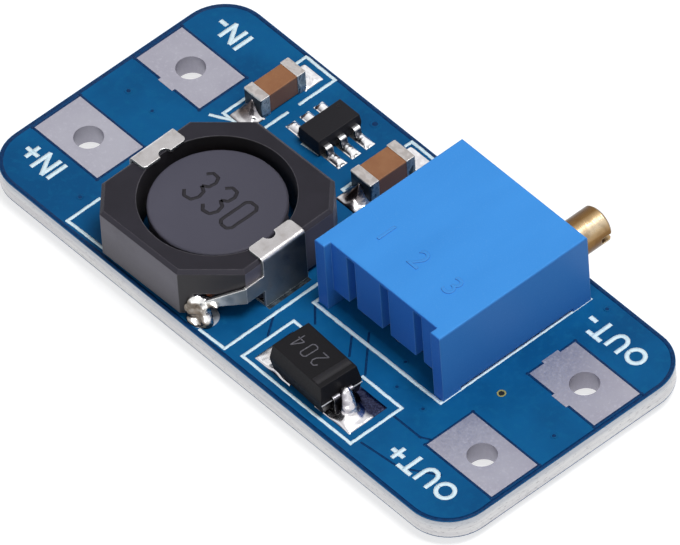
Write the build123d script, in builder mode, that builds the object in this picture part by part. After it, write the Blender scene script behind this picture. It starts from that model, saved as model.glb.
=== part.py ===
# Boost converter module: a small circuit board with a shielded inductor, a converter chip,
# a diode, two ceramic capacitors and a multi-turn trimmer that lies flat on the board.
# X runs from the input end to the output end, Y from the front long edge to the back one.
# The origin is the centre of the board's underside, in millimetres.
from build123d import *
from math import atan, cos, pi, radians, sin, tan
import os

os.makedirs("parts", exist_ok=True)

# board
board_length = 36.0
board_width = 17.0
board_thickness = 1.2
board_corner_radius = 2.5
mask_thickness = 0.05
tin_thickness = 0.02  # how far a tinned land stands above the solder mask

# solder joints: how much of the bare land they cover, and the middle of their hollow face as a
# share of their reach and height
solder_spread = 0.8
solder_bow = 0.38

# four wire terminals
terminal_inset = 2.85  # from the board's end to the middle of a terminal's hole
terminal_pitch_y = 6.95
terminal_land_length = 4.9
terminal_land_width = 3.1
terminal_hole_radius = 0.8
terminal_plating = 0.05
spoke_width = 1.1  # copper bridges that leave the land in the middle of an edge
spoke_reach = 0.2

# inductor
inductor_x = -5.1
inductor_y = -3.3
inductor_turn = 1.0  # degrees that it was soldered out of square
ring_length = 9.8
ring_width = 10.0
ring_height = 3.05
ring_standoff = 0.3
ring_bore_radius = 4.13
ring_small_corner = 1.5
ring_large_corner = 2.45
ring_edge_bevel = 0.2
wire_window_height = 1.4
wire_window_depth = 1.0
wire_window_post = 0.55  # wall left standing beside the window
core_radius = 3.63
core_recess = 0.45  # how far the core's top lies below the ring's top
core_standoff = 0.1
flange_thickness = 0.6
hub_radius = 1.7
core_edge_radius = 0.12
wire_radius = 0.19
winding_radius = 3.25
clip_thickness = 0.16
clip_width = 2.9
clip_tab_length = 1.0
clip_notch_radius = 0.36
clip_bend_radius = 0.26
clip_corner_radius = 0.22
clip_foot_length = 1.2
clip_land_reach = 0.5  # how much longer the land under a clip is than its foot
arm_width = 1.1
arm_drop = 1.05  # from the ring's top down to the arm's top edge
arm_fall = 1.0  # how far the arm's top edge falls towards the wire end
arm_rise = 0.3  # how far its lower edge falls on the same way
arm_gap = 0.12  # between the arm and the ring's cut corner
wire_joint_inset = 0.85  # from the start of the cut corner to the soldered wire end
wire_joint_radius = 0.82
wire_joint_height = 1.5
wire_joint_taper = 10.0

# trimmer
trimmer_x = 6.345
trimmer_y = 2.525
trimmer_length = 9.53
trimmer_width = 10.03
trimmer_height = 4.7
foot_height = 0.25
foot_length = 1.2
housing_edge_radius = 0.1
roof_thickness = 0.6
side_wall = 0.62
front_wall = 0.9
corner_post_width = 0.72
corner_post_depth = 0.45
pin_pitch = 2.54
groove_width = 0.62
groove_depth = 0.6
groove_roof = 0.2
rib_clearance = 1.15  # height of the ribs' lower ends above the board
screw_inset = 1.27  # from the housing's side and top faces to the screw's axis
screw_radius = 1.05
screw_reach = 1.88  # how far the screw stands out of the housing
screw_slot_width = 0.5
screw_slot_depth = 0.75
screw_slot_turn = 10.0  # degrees that the slot lies off level
screw_tip_chamfer = 0.12
screw_clearance = 0.05
screw_bearing_length = 1.9
screw_bearing_half = 1.5
seal_groove_radius = 0.72
seal_groove_length = 0.56
seal_groove_inset = 0.7
worm_pitch_radius = 0.65
worm_gap = 0.1  # around the worm in its channel
worm_end_gap = 0.15
pivot_radius = 0.4
pivot_length = 0.5
wheel_teeth = 28
wheel_side_gap = 0.29  # from the teeth to the housing's side wall
wheel_front_gap = 0.19  # from the teeth to the housing's front wall
wheel_thickness = 1.1
tooth_addendum = 0.2
tooth_dedendum = 0.26
tooth_angle = 20.0
tooth_share = 0.4  # width of a tooth at the pitch line, as a share of the pitch
wheel_web_thickness = 0.5
wheel_rim_thickness = 0.55
wheel_hub_radius = 1.5
wheel_hub_drop = 0.9  # how far the hub reaches below the teeth
wheel_post_radius = 0.7
wheel_clearance = 0.05
element_thickness = 0.6
element_gap = 0.15
compound_thickness = 0.45
track_inset = 0.45  # from the wheel's pitch circle to the track's outer edge
track_width = 0.7
track_thickness = 0.03
track_opening = 1.6  # left open between the track's ends
contact_thickness = 0.1
contact_width = 0.5
contact_gap = 0.04
pin_radius = 0.255
pin_row_inset = 1.9  # from the housing's front face to the row of pins
pin_tail = 0.55
pin_hole_radius = 0.42
pin_land_radius = 0.85
pin_joint_height = 0.45
pin_joint_base_radius = 0.76
pin_joint_tip_radius = 0.31

# ceramic capacitors
capacitor_length = 3.1
input_capacitor_width = 1.35
output_capacitor_width = 1.56
capacitor_height = 1.35
capacitor_cap_length = 0.6
cap_wall = 0.03
ceramic_edge_radius = 0.1
capacitor_land_length = 1.25
capacitor_land_margin = 0.07  # how far a land stands out at each side
capacitor_land_reach = 1.05  # how far a land stretches out beyond the end cap
capacitor_fillet_height = 0.95
input_capacitor_x = -10.56
input_capacitor_y = 5.28
output_capacitor_x = -2.35
output_capacitor_y = 5.4

# converter chip
chip_x = -6.63
chip_y = 5.52
chip_length = 2.9
chip_width = 1.6
chip_height = 1.1
chip_standoff = 0.08
chip_taper = 7.0
chip_band = 0.16  # upright band round the body where the leads come out
lead_pitch = 0.95
lead_width = 0.4
lead_thickness = 0.15
lead_span = 2.8
lead_foot_length = 0.45
lead_level = 0.5
lead_land_width = 0.62
lead_land_inset = 0.3
lead_land_reach = 0.65

# diode
diode_x = 5.66
diode_y = -6.25
diode_turn = -3.0  # degrees that it was soldered out of square
diode_length = 4.2
diode_width = 2.6
diode_height = 2.05
diode_standoff = 0.22
diode_band = 0.2
diode_parting_level = 0.95
diode_taper = 9.0
diode_lead_width = 1.3
diode_lead_thickness = 0.2
diode_lead_shoulder = 0.25  # from the body's end to the lead's outer face
diode_lead_foot = 1.0
lead_bend_radius = 0.1
diode_lands_x = 5.8
diode_lands_y = -6.1
diode_lands_span = 7.26  # from the outer end of one land to that of the other
diode_land_length = 2.7
diode_land_width = 2.6
diode_fillet_height = 0.7
solder_peak_width = 0.7  # a narrow tongue of solder climbs higher up each lead
solder_peak_height = 0.95
solder_peak_reach = 0.8
solder_peak_shift = 0.2

# feedback resistor
resistor_x = 0.62
resistor_y = 3.0
resistor_length = 1.6
resistor_width = 0.8
resistor_height = 0.45
resistor_end_length = 0.3
resistor_land_width = 0.9
resistor_land_reach = 0.35

# levels and places that follow from the sizes
terminal_pitch_x = board_length - 2 * terminal_inset
board_top = board_thickness
core_top = board_top - mask_thickness
core_bottom = mask_thickness
seat = board_top + tin_thickness
housing_left = trimmer_x - trimmer_length / 2
housing_right = trimmer_x + trimmer_length / 2
housing_front = trimmer_y - trimmer_width / 2
housing_back = trimmer_y + trimmer_width / 2
housing_top = board_top + trimmer_height
housing_bottom = board_top + foot_height
housing_ceiling = housing_top - roof_thickness
wall_front = housing_front + corner_post_depth
cavity_front = wall_front + front_wall
cavity_back = housing_back - side_wall
cavity_left = housing_left + side_wall
cavity_right = housing_right - side_wall
bearing_front = housing_back - screw_bearing_length
screw_x = housing_right - screw_inset
screw_z = housing_top - screw_inset
wheel_room = screw_x - worm_pitch_radius - cavity_left - wheel_side_gap
wheel_pitch_radius = (wheel_room - tooth_addendum) / 2
worm_lead = 2 * pi * wheel_pitch_radius / wheel_teeth
worm_tip_radius = worm_pitch_radius + tooth_addendum
worm_root_radius = worm_pitch_radius - tooth_dedendum
worm_lead_angle = atan(worm_lead / (2 * pi * worm_pitch_radius))
wheel_x = screw_x - worm_pitch_radius - wheel_pitch_radius
wheel_tip_radius = wheel_pitch_radius + tooth_addendum
wheel_root_radius = wheel_pitch_radius - tooth_dedendum
wheel_y = cavity_front + wheel_front_gap + wheel_tip_radius
wheel_bottom = screw_z - wheel_thickness / 2
wheel_top = screw_z + wheel_thickness / 2
compound_bottom = housing_bottom
element_bottom = compound_bottom + compound_thickness
element_top = element_bottom + element_thickness
track_top = element_top + track_thickness
track_outer_radius = wheel_pitch_radius - track_inset
track_inner_radius = track_outer_radius - track_width
contact_radius = track_outer_radius - track_width / 2
pin_row_y = housing_front + pin_row_inset
pin_places = [(trimmer_x + n * pin_pitch, pin_row_y) for n in (-1, 0, 1)]


def write(part, label):
    part.label = label
    export_step(part, f"parts/{label}.step")


def board_outline():
    with BuildSketch() as outline:
        RectangleRounded(board_length, board_width, board_corner_radius)
    return outline.sketch


def terminal_outline(side_x, side_y, spokes):
    # a rectangular land, with a copper bridge in the middle of each edge that faces the pour
    x = side_x * terminal_pitch_x / 2
    y = side_y * terminal_pitch_y / 2
    with BuildSketch() as outline:
        with Locations((x, y)):
            Rectangle(terminal_land_length, terminal_land_width)
        if "end" in spokes:
            with Locations((x - side_x * terminal_land_length / 2, y)):
                Rectangle(2 * spoke_reach, spoke_width)
        if "side" in spokes:
            with Locations((x, y - side_y * terminal_land_width / 2)):
                Rectangle(spoke_width, 2 * spoke_reach)
    return outline.sketch


terminals = {
    "input_plus_terminal": (-1, -1, ()),
    "input_minus_terminal": (-1, 1, ("side",)),
    "output_plus_terminal": (1, -1, ()),
    "output_minus_terminal": (1, 1, ("end", "side")),
}
terminal_places = [
    (side_x * terminal_pitch_x / 2, side_y * terminal_pitch_y / 2)
    for side_x, side_y, spokes in terminals.values()
]

# lands under the soldered parts: middle x, middle y, length along x, length along y
capacitor_land_middle = capacitor_length / 2 + capacitor_land_reach - capacitor_land_length / 2
lead_land_inner = lead_span / 2 - lead_foot_length - lead_land_inset
lead_land_outer = lead_span / 2 + lead_land_reach
lead_land_length = lead_land_outer - lead_land_inner
diode_land_outer = diode_lands_span / 2
diode_land_inner = diode_land_outer - diode_land_length
resistor_land_inner = resistor_length / 2 - resistor_end_length
resistor_land_outer = resistor_length / 2 + resistor_land_reach
resistor_land_length = resistor_land_outer - resistor_land_inner
capacitors = (
    ("input_capacitor", input_capacitor_x, input_capacitor_y, input_capacitor_width),
    ("output_capacitor", output_capacitor_x, output_capacitor_y, output_capacitor_width),
)
lands = []
for name, x, y, width in capacitors:
    land_width = width + 2 * capacitor_land_margin
    for side in (-1, 1):
        lands.append((x, y + side * capacitor_land_middle, land_width, capacitor_land_length))
for side in (-1, 1):
    for row in (-1, 0, 1):
        x = chip_x + side * (lead_land_inner + lead_land_outer) / 2
        lands.append((x, chip_y + row * lead_pitch, lead_land_length, lead_land_width))
    x = diode_lands_x + side * (diode_land_inner + diode_land_outer) / 2
    lands.append((x, diode_lands_y, diode_land_length, diode_land_width))
    y = resistor_y + side * (resistor_land_inner + resistor_land_outer) / 2
    lands.append((resistor_x, y, resistor_land_width, resistor_land_length))

inductor_plane = Plane(
    origin=(inductor_x, inductor_y, board_top),
    x_dir=(cos(radians(inductor_turn)), sin(radians(inductor_turn)), 0),
    z_dir=(0, 0, 1),
)
clip_land_length = clip_foot_length + clip_land_reach
clip_land_middle = ring_length / 2 + clip_thickness - clip_foot_length / 2
wire_joint_x = ring_length / 2 - ring_large_corner + wire_joint_inset
wire_joint_y = -ring_width / 2 + wire_joint_inset

# glass-epoxy core of the board
with BuildPart() as circuit_board:
    with BuildSketch(Plane.XY.offset(core_bottom)):
        add(board_outline())
        with Locations(*terminal_places):
            Circle(terminal_hole_radius + terminal_plating, mode=Mode.SUBTRACT)
        with Locations(*pin_places):
            Circle(pin_hole_radius, mode=Mode.SUBTRACT)
    extrude(amount=core_top - core_bottom)
write(circuit_board.part, "circuit_board")

# plated terminals: two lands joined by the plated wall of the hole
for label, (side_x, side_y, spokes) in terminals.items():
    hole = (side_x * terminal_pitch_x / 2, side_y * terminal_pitch_y / 2)
    with BuildPart() as terminal:
        with BuildSketch(Plane.XY.offset(-tin_thickness)):
            add(terminal_outline(side_x, side_y, ()))
        extrude(amount=core_bottom + tin_thickness)
        with BuildSketch(Plane.XY.offset(core_bottom)):
            with Locations(hole):
                Circle(terminal_hole_radius + terminal_plating)
        extrude(amount=core_top - core_bottom)
        with BuildSketch(Plane.XY.offset(core_top)):
            add(terminal_outline(side_x, side_y, spokes))
        extrude(amount=seat - core_top)
        with BuildSketch(Plane.XY.offset(-tin_thickness)):
            with Locations(hole):
                Circle(terminal_hole_radius)
        extrude(amount=seat + tin_thickness, mode=Mode.SUBTRACT)
    write(terminal.part, label)

# blue solder mask, open over every land
with BuildPart() as solder_mask_top:
    with BuildSketch(Plane.XY.offset(core_top)):
        add(board_outline())
        for side_x, side_y, spokes in terminals.values():
            add(terminal_outline(side_x, side_y, spokes), mode=Mode.SUBTRACT)
        for x, y, length, width in lands:
            with Locations((x, y)):
                Rectangle(length, width, mode=Mode.SUBTRACT)
        with Locations(*pin_places):
            Circle(pin_land_radius, mode=Mode.SUBTRACT)
    extrude(amount=mask_thickness)
    with BuildSketch(inductor_plane.offset(-mask_thickness)):
        with Locations((-clip_land_middle, 0), (clip_land_middle, 0)):
            Rectangle(clip_land_length, clip_width)
        with Locations((wire_joint_x, wire_joint_y), (-wire_joint_x, -wire_joint_y)):
            Circle(wire_joint_radius)
    extrude(amount=mask_thickness, mode=Mode.SUBTRACT)
write(solder_mask_top.part, "solder_mask_top")

with BuildPart() as solder_mask_bottom:
    with BuildSketch():
        add(board_outline())
        for side_x, side_y, spokes in terminals.values():
            add(terminal_outline(side_x, side_y, ()), mode=Mode.SUBTRACT)
        with Locations(*pin_places):
            Circle(pin_land_radius, mode=Mode.SUBTRACT)
    extrude(amount=mask_thickness)
write(solder_mask_bottom.part, "solder_mask_bottom")

# ferrite shield ring: a square with cut corners and a round bore; at its two large cut corners
# it is cut away below, where the wire ends come out
ring_top = ring_standoff + ring_height
window_corners = [(1, -1), (-1, 1)]
with BuildPart() as shield_ring:
    with BuildSketch(inductor_plane.offset(ring_standoff)):
        Rectangle(ring_length, ring_width)
        with Locations((ring_length / 2, -ring_width / 2), (-ring_length / 2, ring_width / 2)):
            Rectangle(
                ring_large_corner * 2**0.5, ring_large_corner * 2**0.5, rotation=45, mode=Mode.SUBTRACT
            )
        with Locations((ring_length / 2, ring_width / 2), (-ring_length / 2, -ring_width / 2)):
            Rectangle(
                ring_small_corner * 2**0.5, ring_small_corner * 2**0.5, rotation=45, mode=Mode.SUBTRACT
            )
    extrude(amount=ring_height)
    chamfer(shield_ring.faces().sort_by(Axis.Z)[-1].edges(), length=ring_edge_bevel)
    with BuildSketch(inductor_plane.offset(ring_standoff)):
        Circle(ring_bore_radius)
    extrude(amount=ring_height, mode=Mode.SUBTRACT)
    for side_x, side_y in window_corners:
        window_leg = ring_large_corner + wire_window_depth * 2**0.5
        with BuildSketch(inductor_plane.offset(ring_standoff)):
            with Locations((side_x * ring_length / 2, side_y * ring_width / 2)):
                Rectangle(window_leg * 2**0.5, window_leg * 2**0.5, rotation=45)
            with Locations((0, side_y * (ring_width - wire_window_post))):
                Rectangle(2 * ring_length, ring_width, mode=Mode.SUBTRACT)
        extrude(amount=wire_window_height, mode=Mode.SUBTRACT)
write(shield_ring.part, "inductor_shield_ring")

# ferrite drum core: two flanges on a hub; the top flange is the disc that shows
core_height = ring_top - core_recess - core_standoff
with BuildPart() as drum_core:
    with BuildSketch(inductor_plane.offset(core_standoff)):
        Circle(core_radius)
    extrude(amount=flange_thickness)
    with BuildSketch(inductor_plane.offset(core_standoff)):
        Circle(hub_radius)
    extrude(amount=core_height)
    with BuildSketch(inductor_plane.offset(core_standoff + core_height - flange_thickness)):
        Circle(core_radius)
    extrude(amount=flange_thickness)
    fillet(
        drum_core.edges().filter_by(GeomType.CIRCLE).filter_by(lambda e: e.radius > winding_radius),
        radius=core_edge_radius,
    )
write(drum_core.part, "inductor_drum_core")

# winding: one solid with a scalloped outside, a scallop for each turn of wire
winding_bottom = core_standoff + flange_thickness
winding_space = core_height - 2 * flange_thickness
winding_turns = int(winding_space / (2 * wire_radius))
turn_pitch = winding_space / winding_turns
section_plane = Plane(
    origin=inductor_plane.origin, x_dir=inductor_plane.x_dir, z_dir=-inductor_plane.y_dir
)
with BuildPart() as winding:
    with BuildSketch(section_plane):
        with Locations(((hub_radius + winding_radius) / 2, winding_bottom + winding_space / 2)):
            Rectangle(winding_radius - hub_radius, winding_space)
        for turn in range(winding_turns):
            with Locations((winding_radius, winding_bottom + (turn + 0.5) * turn_pitch)):
                Circle(turn_pitch / 2)
    revolve(axis=Axis(inductor_plane.origin, (0, 0, 1)), revolution_arc=360)
write(winding.part, "inductor_winding")

# tinned clips: each grips the ring from its top, down one side and under it, and a tapering arm
# reaches round the cut corner to the soldered wire end
arm_top = ring_top - arm_drop
arm_bottom = arm_top - arm_width
arm_corner_y = ring_width / 2 - ring_large_corner + arm_gap
arm_reach = (ring_large_corner - wire_joint_inset) * 2**0.5
arm_starts = {}
for label, side in (("inductor_clip_output_side", 1), ("inductor_clip_input_side", -1)):
    face = side * ring_length / 2
    middle = face + side * clip_thickness / 2
    heading = inductor_turn + (225 if side > 0 else 45)
    across = (sin(radians(heading)), -cos(radians(heading)), 0)
    with BuildPart() as clip:
        with BuildSketch(inductor_plane):
            with Locations((middle, 0)):
                Rectangle(clip_thickness, clip_width)
        extrude(amount=ring_top + clip_thickness)
        with BuildSketch(inductor_plane.offset(ring_top)):
            with Locations((face - side * (clip_tab_length - clip_thickness) / 2, 0)):
                Rectangle(clip_tab_length + clip_thickness, clip_width)
            with Locations((face - side * clip_tab_length, 0)):
                Circle(clip_notch_radius, mode=Mode.SUBTRACT)
        extrude(amount=clip_thickness)
        with BuildSketch(inductor_plane):
            with Locations((face - side * (clip_foot_length - clip_thickness) / 2, 0)):
                Rectangle(clip_foot_length + clip_thickness, clip_width)
        extrude(amount=clip_thickness)
        with BuildSketch(inductor_plane.offset(arm_bottom)):
            with Locations((middle, -side * arm_corner_y / 2)):
                Rectangle(clip_thickness, arm_corner_y)
        extrude(amount=arm_width)
        arm_plane = Plane(
            origin=inductor_plane.from_local_coords((middle, -side * arm_corner_y, 0)),
            x_dir=(cos(radians(heading)), sin(radians(heading)), 0),
            z_dir=across,
        )
        with BuildSketch(arm_plane):
            Polygon(
                (-clip_thickness / 2, arm_bottom),
                (arm_reach, arm_bottom - arm_rise),
                (arm_reach, arm_top - arm_fall),
                (-clip_thickness / 2, arm_top),
                align=None,
            )
        extrude(amount=clip_thickness / 2, both=True)
        tab_end = face - side * clip_tab_length
        tab_middle = ring_top + clip_thickness / 2
        for y in (-clip_width / 2, clip_width / 2):
            corner = inductor_plane.from_local_coords((tab_end, y, tab_middle))
            fillet(clip.edges().sort_by_distance(corner)[0], radius=clip_corner_radius)
        bend = inductor_plane.from_local_coords((face + side * clip_thickness, 0, ring_top + clip_thickness))
        fillet(clip.edges().sort_by_distance(bend)[0], radius=clip_bend_radius)
    write(clip.part, label)
    arm_starts[side] = clip.part

# solder joints of the wire ends at the arms, down to their lands
for label, side in (("wire_joint_output_side", 1), ("wire_joint_input_side", -1)):
    with BuildPart() as wire_joint:
        with BuildSketch(inductor_plane.offset(-mask_thickness)):
            with Locations((side * wire_joint_x, side * wire_joint_y)):
                Circle(wire_joint_radius)
        extrude(amount=mask_thickness)
        with BuildSketch(inductor_plane):
            with Locations((side * wire_joint_x, side * wire_joint_y)):
                Circle(wire_joint_radius)
        extrude(amount=wire_joint_height, taper=wire_joint_taper)
        add(arm_starts[side], mode=Mode.SUBTRACT)
        add(shield_ring.part, mode=Mode.SUBTRACT)
    write(wire_joint.part, label)

# solder under the clips' feet
for label, side in (("clip_joint_output_side", 1), ("clip_joint_input_side", -1)):
    with BuildPart() as clip_joint:
        with BuildSketch(inductor_plane.offset(-mask_thickness)):
            with Locations((side * clip_land_middle, 0)):
                Rectangle(clip_land_length, clip_width)
        extrude(amount=mask_thickness)
    write(clip_joint.part, label)


def cavity_outline(gap):
    # the hollow of the trimmer's housing, less the block that carries the screw
    with BuildSketch() as outline:
        with Locations(((cavity_left + cavity_right) / 2, (cavity_front + cavity_back) / 2)):
            Rectangle(cavity_right - cavity_left - 2 * gap, cavity_back - cavity_front - 2 * gap)
        with Locations((screw_x, bearing_front - gap)):
            Rectangle(
                2 * screw_bearing_half + 2 * gap,
                2 * screw_bearing_length,
                align=(Align.CENTER, Align.MIN),
                mode=Mode.SUBTRACT,
            )
    return outline.sketch


def across_screw(y):
    return Plane(origin=(screw_x, y, screw_z), x_dir=(1, 0, 0), z_dir=(0, 1, 0))


# trimmer housing: a box open below, with corner posts, grooves and a raised front wall
post_bottom = wheel_bottom - wheel_hub_drop + wheel_clearance
with BuildPart() as trimmer_housing:
    with BuildSketch(Plane.XY.offset(housing_bottom)):
        with Locations((trimmer_x, trimmer_y)):
            Rectangle(trimmer_length, trimmer_width)
        with Locations((trimmer_x, housing_front)):
            Rectangle(
                trimmer_length - 2 * corner_post_width, 2 * corner_post_depth, mode=Mode.SUBTRACT
            )
    extrude(amount=housing_top - housing_bottom)
    fillet(trimmer_housing.faces().sort_by(Axis.Z)[-1].edges(), radius=housing_edge_radius)
    with BuildSketch(Plane.XY.offset(board_top)):
        with Locations((trimmer_x, trimmer_y)):
            with GridLocations(
                trimmer_length - corner_post_width, trimmer_width - foot_length, 2, 2
            ):
                Rectangle(corner_post_width, foot_length)
    extrude(amount=foot_height)
    with BuildSketch(Plane.XY.offset(housing_bottom)):
        add(cavity_outline(0))
    extrude(amount=housing_ceiling - housing_bottom, mode=Mode.SUBTRACT)
    with BuildSketch(Plane.XY.offset(housing_bottom)):
        for x, y in pin_places:
            with Locations((x, wall_front)):
                Rectangle(groove_width, 2 * groove_depth)
    extrude(amount=housing_top - groove_roof - housing_bottom, mode=Mode.SUBTRACT)
    with BuildSketch(Plane.XY.offset(housing_bottom)):
        with Locations((trimmer_x, wall_front)):
            Rectangle(
                trimmer_length - 2 * corner_post_width,
                front_wall,
                align=(Align.CENTER, Align.MIN),
            )
    extrude(amount=rib_clearance - foot_height, mode=Mode.SUBTRACT)
    with BuildSketch(across_screw(bearing_front)):
        Circle(screw_radius + screw_clearance)
    extrude(amount=screw_bearing_length, mode=Mode.SUBTRACT)
    with BuildSketch(across_screw(cavity_front)):
        Circle(worm_tip_radius + worm_gap)
    extrude(amount=bearing_front - cavity_front, mode=Mode.SUBTRACT)
    with BuildSketch(across_screw(cavity_front)):
        Circle(pivot_radius + screw_clearance)
    extrude(amount=-(pivot_length + screw_clearance), mode=Mode.SUBTRACT)
    with BuildSketch(Plane.XY.offset(post_bottom)):
        with Locations((wheel_x, wheel_y)):
            Circle(wheel_post_radius)
    extrude(amount=housing_ceiling - post_bottom)
write(trimmer_housing.part, "trimmer_housing")

# worm thread: a trapezoid swept along a helix, with a ridge that faces the wheel at rest
thread_half_tip = worm_lead * tooth_share / 2 - tooth_addendum * tan(radians(tooth_angle))
thread_root = worm_root_radius - worm_end_gap / 2
thread_half_root = thread_half_tip + (worm_tip_radius - thread_root) * tan(radians(tooth_angle))
worm_front = cavity_front + worm_end_gap
worm_back = bearing_front - worm_end_gap
turns_before_wheel = int((wheel_y - worm_front - thread_half_root) / worm_lead)
thread_front = wheel_y - turns_before_wheel * worm_lead
thread_turns = int((worm_back - thread_half_root - thread_front) / worm_lead)
with BuildPart() as worm_thread:
    with BuildLine() as thread_path:
        Helix(worm_lead, thread_turns * worm_lead, worm_pitch_radius)
    with BuildSketch(Plane.XZ):
        Polygon(
            (thread_root, -thread_half_root),
            (worm_tip_radius, -thread_half_tip),
            (worm_tip_radius, thread_half_tip),
            (thread_root, thread_half_root),
            align=None,
        )
    sweep(path=thread_path.line, is_frenet=True)
thread_place = Plane(origin=(screw_x, thread_front, screw_z), x_dir=(-1, 0, 0), z_dir=(0, 1, 0))

# brass adjusting screw: slotted head, groove for the seal, worm and pivot
shoulder_y = bearing_front + screw_clearance
screw_tip_y = housing_back + screw_reach
seal_y = housing_back - seal_groove_inset
with BuildPart() as adjusting_screw:
    with BuildSketch(across_screw(shoulder_y)):
        Circle(screw_radius)
    extrude(amount=screw_tip_y - shoulder_y)
    chamfer(adjusting_screw.faces().sort_by(Axis.Y)[-1].edges(), length=screw_tip_chamfer)
    with BuildSketch(across_screw(seal_y - seal_groove_length / 2)):
        Circle(screw_radius)
        Circle(seal_groove_radius, mode=Mode.SUBTRACT)
    extrude(amount=seal_groove_length, mode=Mode.SUBTRACT)
    with BuildSketch(across_screw(screw_tip_y)):
        Rectangle(4 * screw_radius, screw_slot_width, rotation=screw_slot_turn)
    extrude(amount=-screw_slot_depth, mode=Mode.SUBTRACT)
    with BuildSketch(across_screw(worm_front)):
        Circle(worm_root_radius)
    extrude(amount=shoulder_y - worm_front)
    with BuildSketch(across_screw(cavity_front - pivot_length)):
        Circle(min(pivot_radius, worm_root_radius))
    extrude(amount=worm_front - cavity_front + pivot_length)
    add(worm_thread.part.moved(thread_place.location))
write(adjusting_screw.part, "adjusting_screw")

# rubber ring in the screw's groove
seal_outer = screw_radius + screw_clearance / 2
seal_wire = (seal_outer - seal_groove_radius) / 2
with BuildPart() as shaft_seal:
    with BuildSketch(Plane.XY.offset(screw_z)):
        with Locations((screw_x + seal_groove_radius + seal_wire, seal_y)):
            Circle(seal_wire)
    revolve(axis=Axis((screw_x, seal_y, screw_z), (0, 1, 0)), revolution_arc=360)
write(shaft_seal.part, "shaft_seal")

# toothed wiper wheel: slanted gaps that suit the worm's lead, a web and a long hub
gap_half_tip = worm_lead * (1 - tooth_share) / 2 + tooth_addendum * tan(radians(tooth_angle))
gap_outer = wheel_tip_radius + tooth_addendum
gap_half_outer = gap_half_tip + (gap_outer - wheel_tip_radius) * tan(radians(tooth_angle))
gap_half_root = gap_half_tip - (wheel_tip_radius - wheel_root_radius) * tan(radians(tooth_angle))
gap_plane = Plane(
    origin=(0, 0, 0), x_dir=(1, 0, 0), z_dir=(0, sin(worm_lead_angle), cos(worm_lead_angle))
)
with BuildPart() as tooth_gap:
    with BuildSketch(gap_plane):
        Polygon(
            (wheel_root_radius, -gap_half_root * cos(worm_lead_angle)),
            (gap_outer, -gap_half_outer * cos(worm_lead_angle)),
            (gap_outer, gap_half_outer * cos(worm_lead_angle)),
            (wheel_root_radius, gap_half_root * cos(worm_lead_angle)),
            align=None,
        )
    extrude(amount=wheel_thickness, both=True)
hub_bottom = wheel_bottom - wheel_hub_drop
with BuildPart() as wiper_wheel:
    with BuildSketch(Plane.XY.offset(wheel_bottom)):
        with Locations((wheel_x, wheel_y)):
            Circle(wheel_tip_radius)
    extrude(amount=wheel_thickness)
    with Locations((wheel_x, wheel_y, screw_z)):
        with PolarLocations(0, wheel_teeth):
            add(tooth_gap.part, mode=Mode.SUBTRACT)
    with BuildSketch(Plane.XY.offset(wheel_bottom)):
        with Locations((wheel_x, wheel_y)):
            Circle(wheel_root_radius - wheel_rim_thickness)
    extrude(amount=wheel_thickness - wheel_web_thickness, mode=Mode.SUBTRACT)
    with BuildSketch(Plane.XY.offset(hub_bottom)):
        with Locations((wheel_x, wheel_y)):
            Circle(wheel_hub_radius)
    extrude(amount=wheel_top - hub_bottom)
    with BuildSketch(Plane.XY.offset(hub_bottom)):
        with Locations((wheel_x, wheel_y)):
            Circle(wheel_post_radius + wheel_clearance)
    extrude(amount=wheel_top - hub_bottom, mode=Mode.SUBTRACT)
write(wiper_wheel.part, "wiper_wheel")

# wiper contact: a strip under the hub that slopes down to the resistive track
contact_level = hub_bottom - contact_thickness / 2
touch_level = track_top + contact_gap + contact_thickness / 2
with BuildPart() as wiper_contact:
    with BuildSketch(Plane(origin=(wheel_x, wheel_y, 0), x_dir=(0, 1, 0), z_dir=(1, 0, 0))):
        with BuildLine():
            Polyline(
                (-wheel_hub_radius, contact_level),
                (wheel_hub_radius, contact_level),
                (contact_radius, touch_level),
                (track_outer_radius, touch_level + contact_thickness),
            )
        trace(line_width=contact_thickness)
    extrude(amount=contact_width / 2, both=True)
write(wiper_contact.part, "wiper_contact")

# ceramic element with its resistive track, and the compound that seals the housing's open side
with BuildPart() as ceramic_element:
    with BuildSketch(Plane.XY.offset(element_bottom)):
        add(cavity_outline(element_gap))
    extrude(amount=element_thickness)
write(ceramic_element.part, "ceramic_element")

with BuildPart() as resistive_track:
    with BuildSketch(Plane.XY.offset(element_top)):
        with Locations((wheel_x, wheel_y)):
            Circle(track_outer_radius)
            Circle(track_inner_radius, mode=Mode.SUBTRACT)
            Rectangle(
                track_opening,
                2 * track_outer_radius,
                align=(Align.CENTER, Align.MAX),
                mode=Mode.SUBTRACT,
            )
    extrude(amount=track_thickness)
write(resistive_track.part, "resistive_track")

with BuildPart() as sealing_compound:
    with BuildSketch(Plane.XY.offset(compound_bottom)):
        add(cavity_outline(0))
        with Locations(*pin_places):
            Circle(pin_radius, mode=Mode.SUBTRACT)
    extrude(amount=compound_thickness)
write(sealing_compound.part, "sealing_compound")

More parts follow.
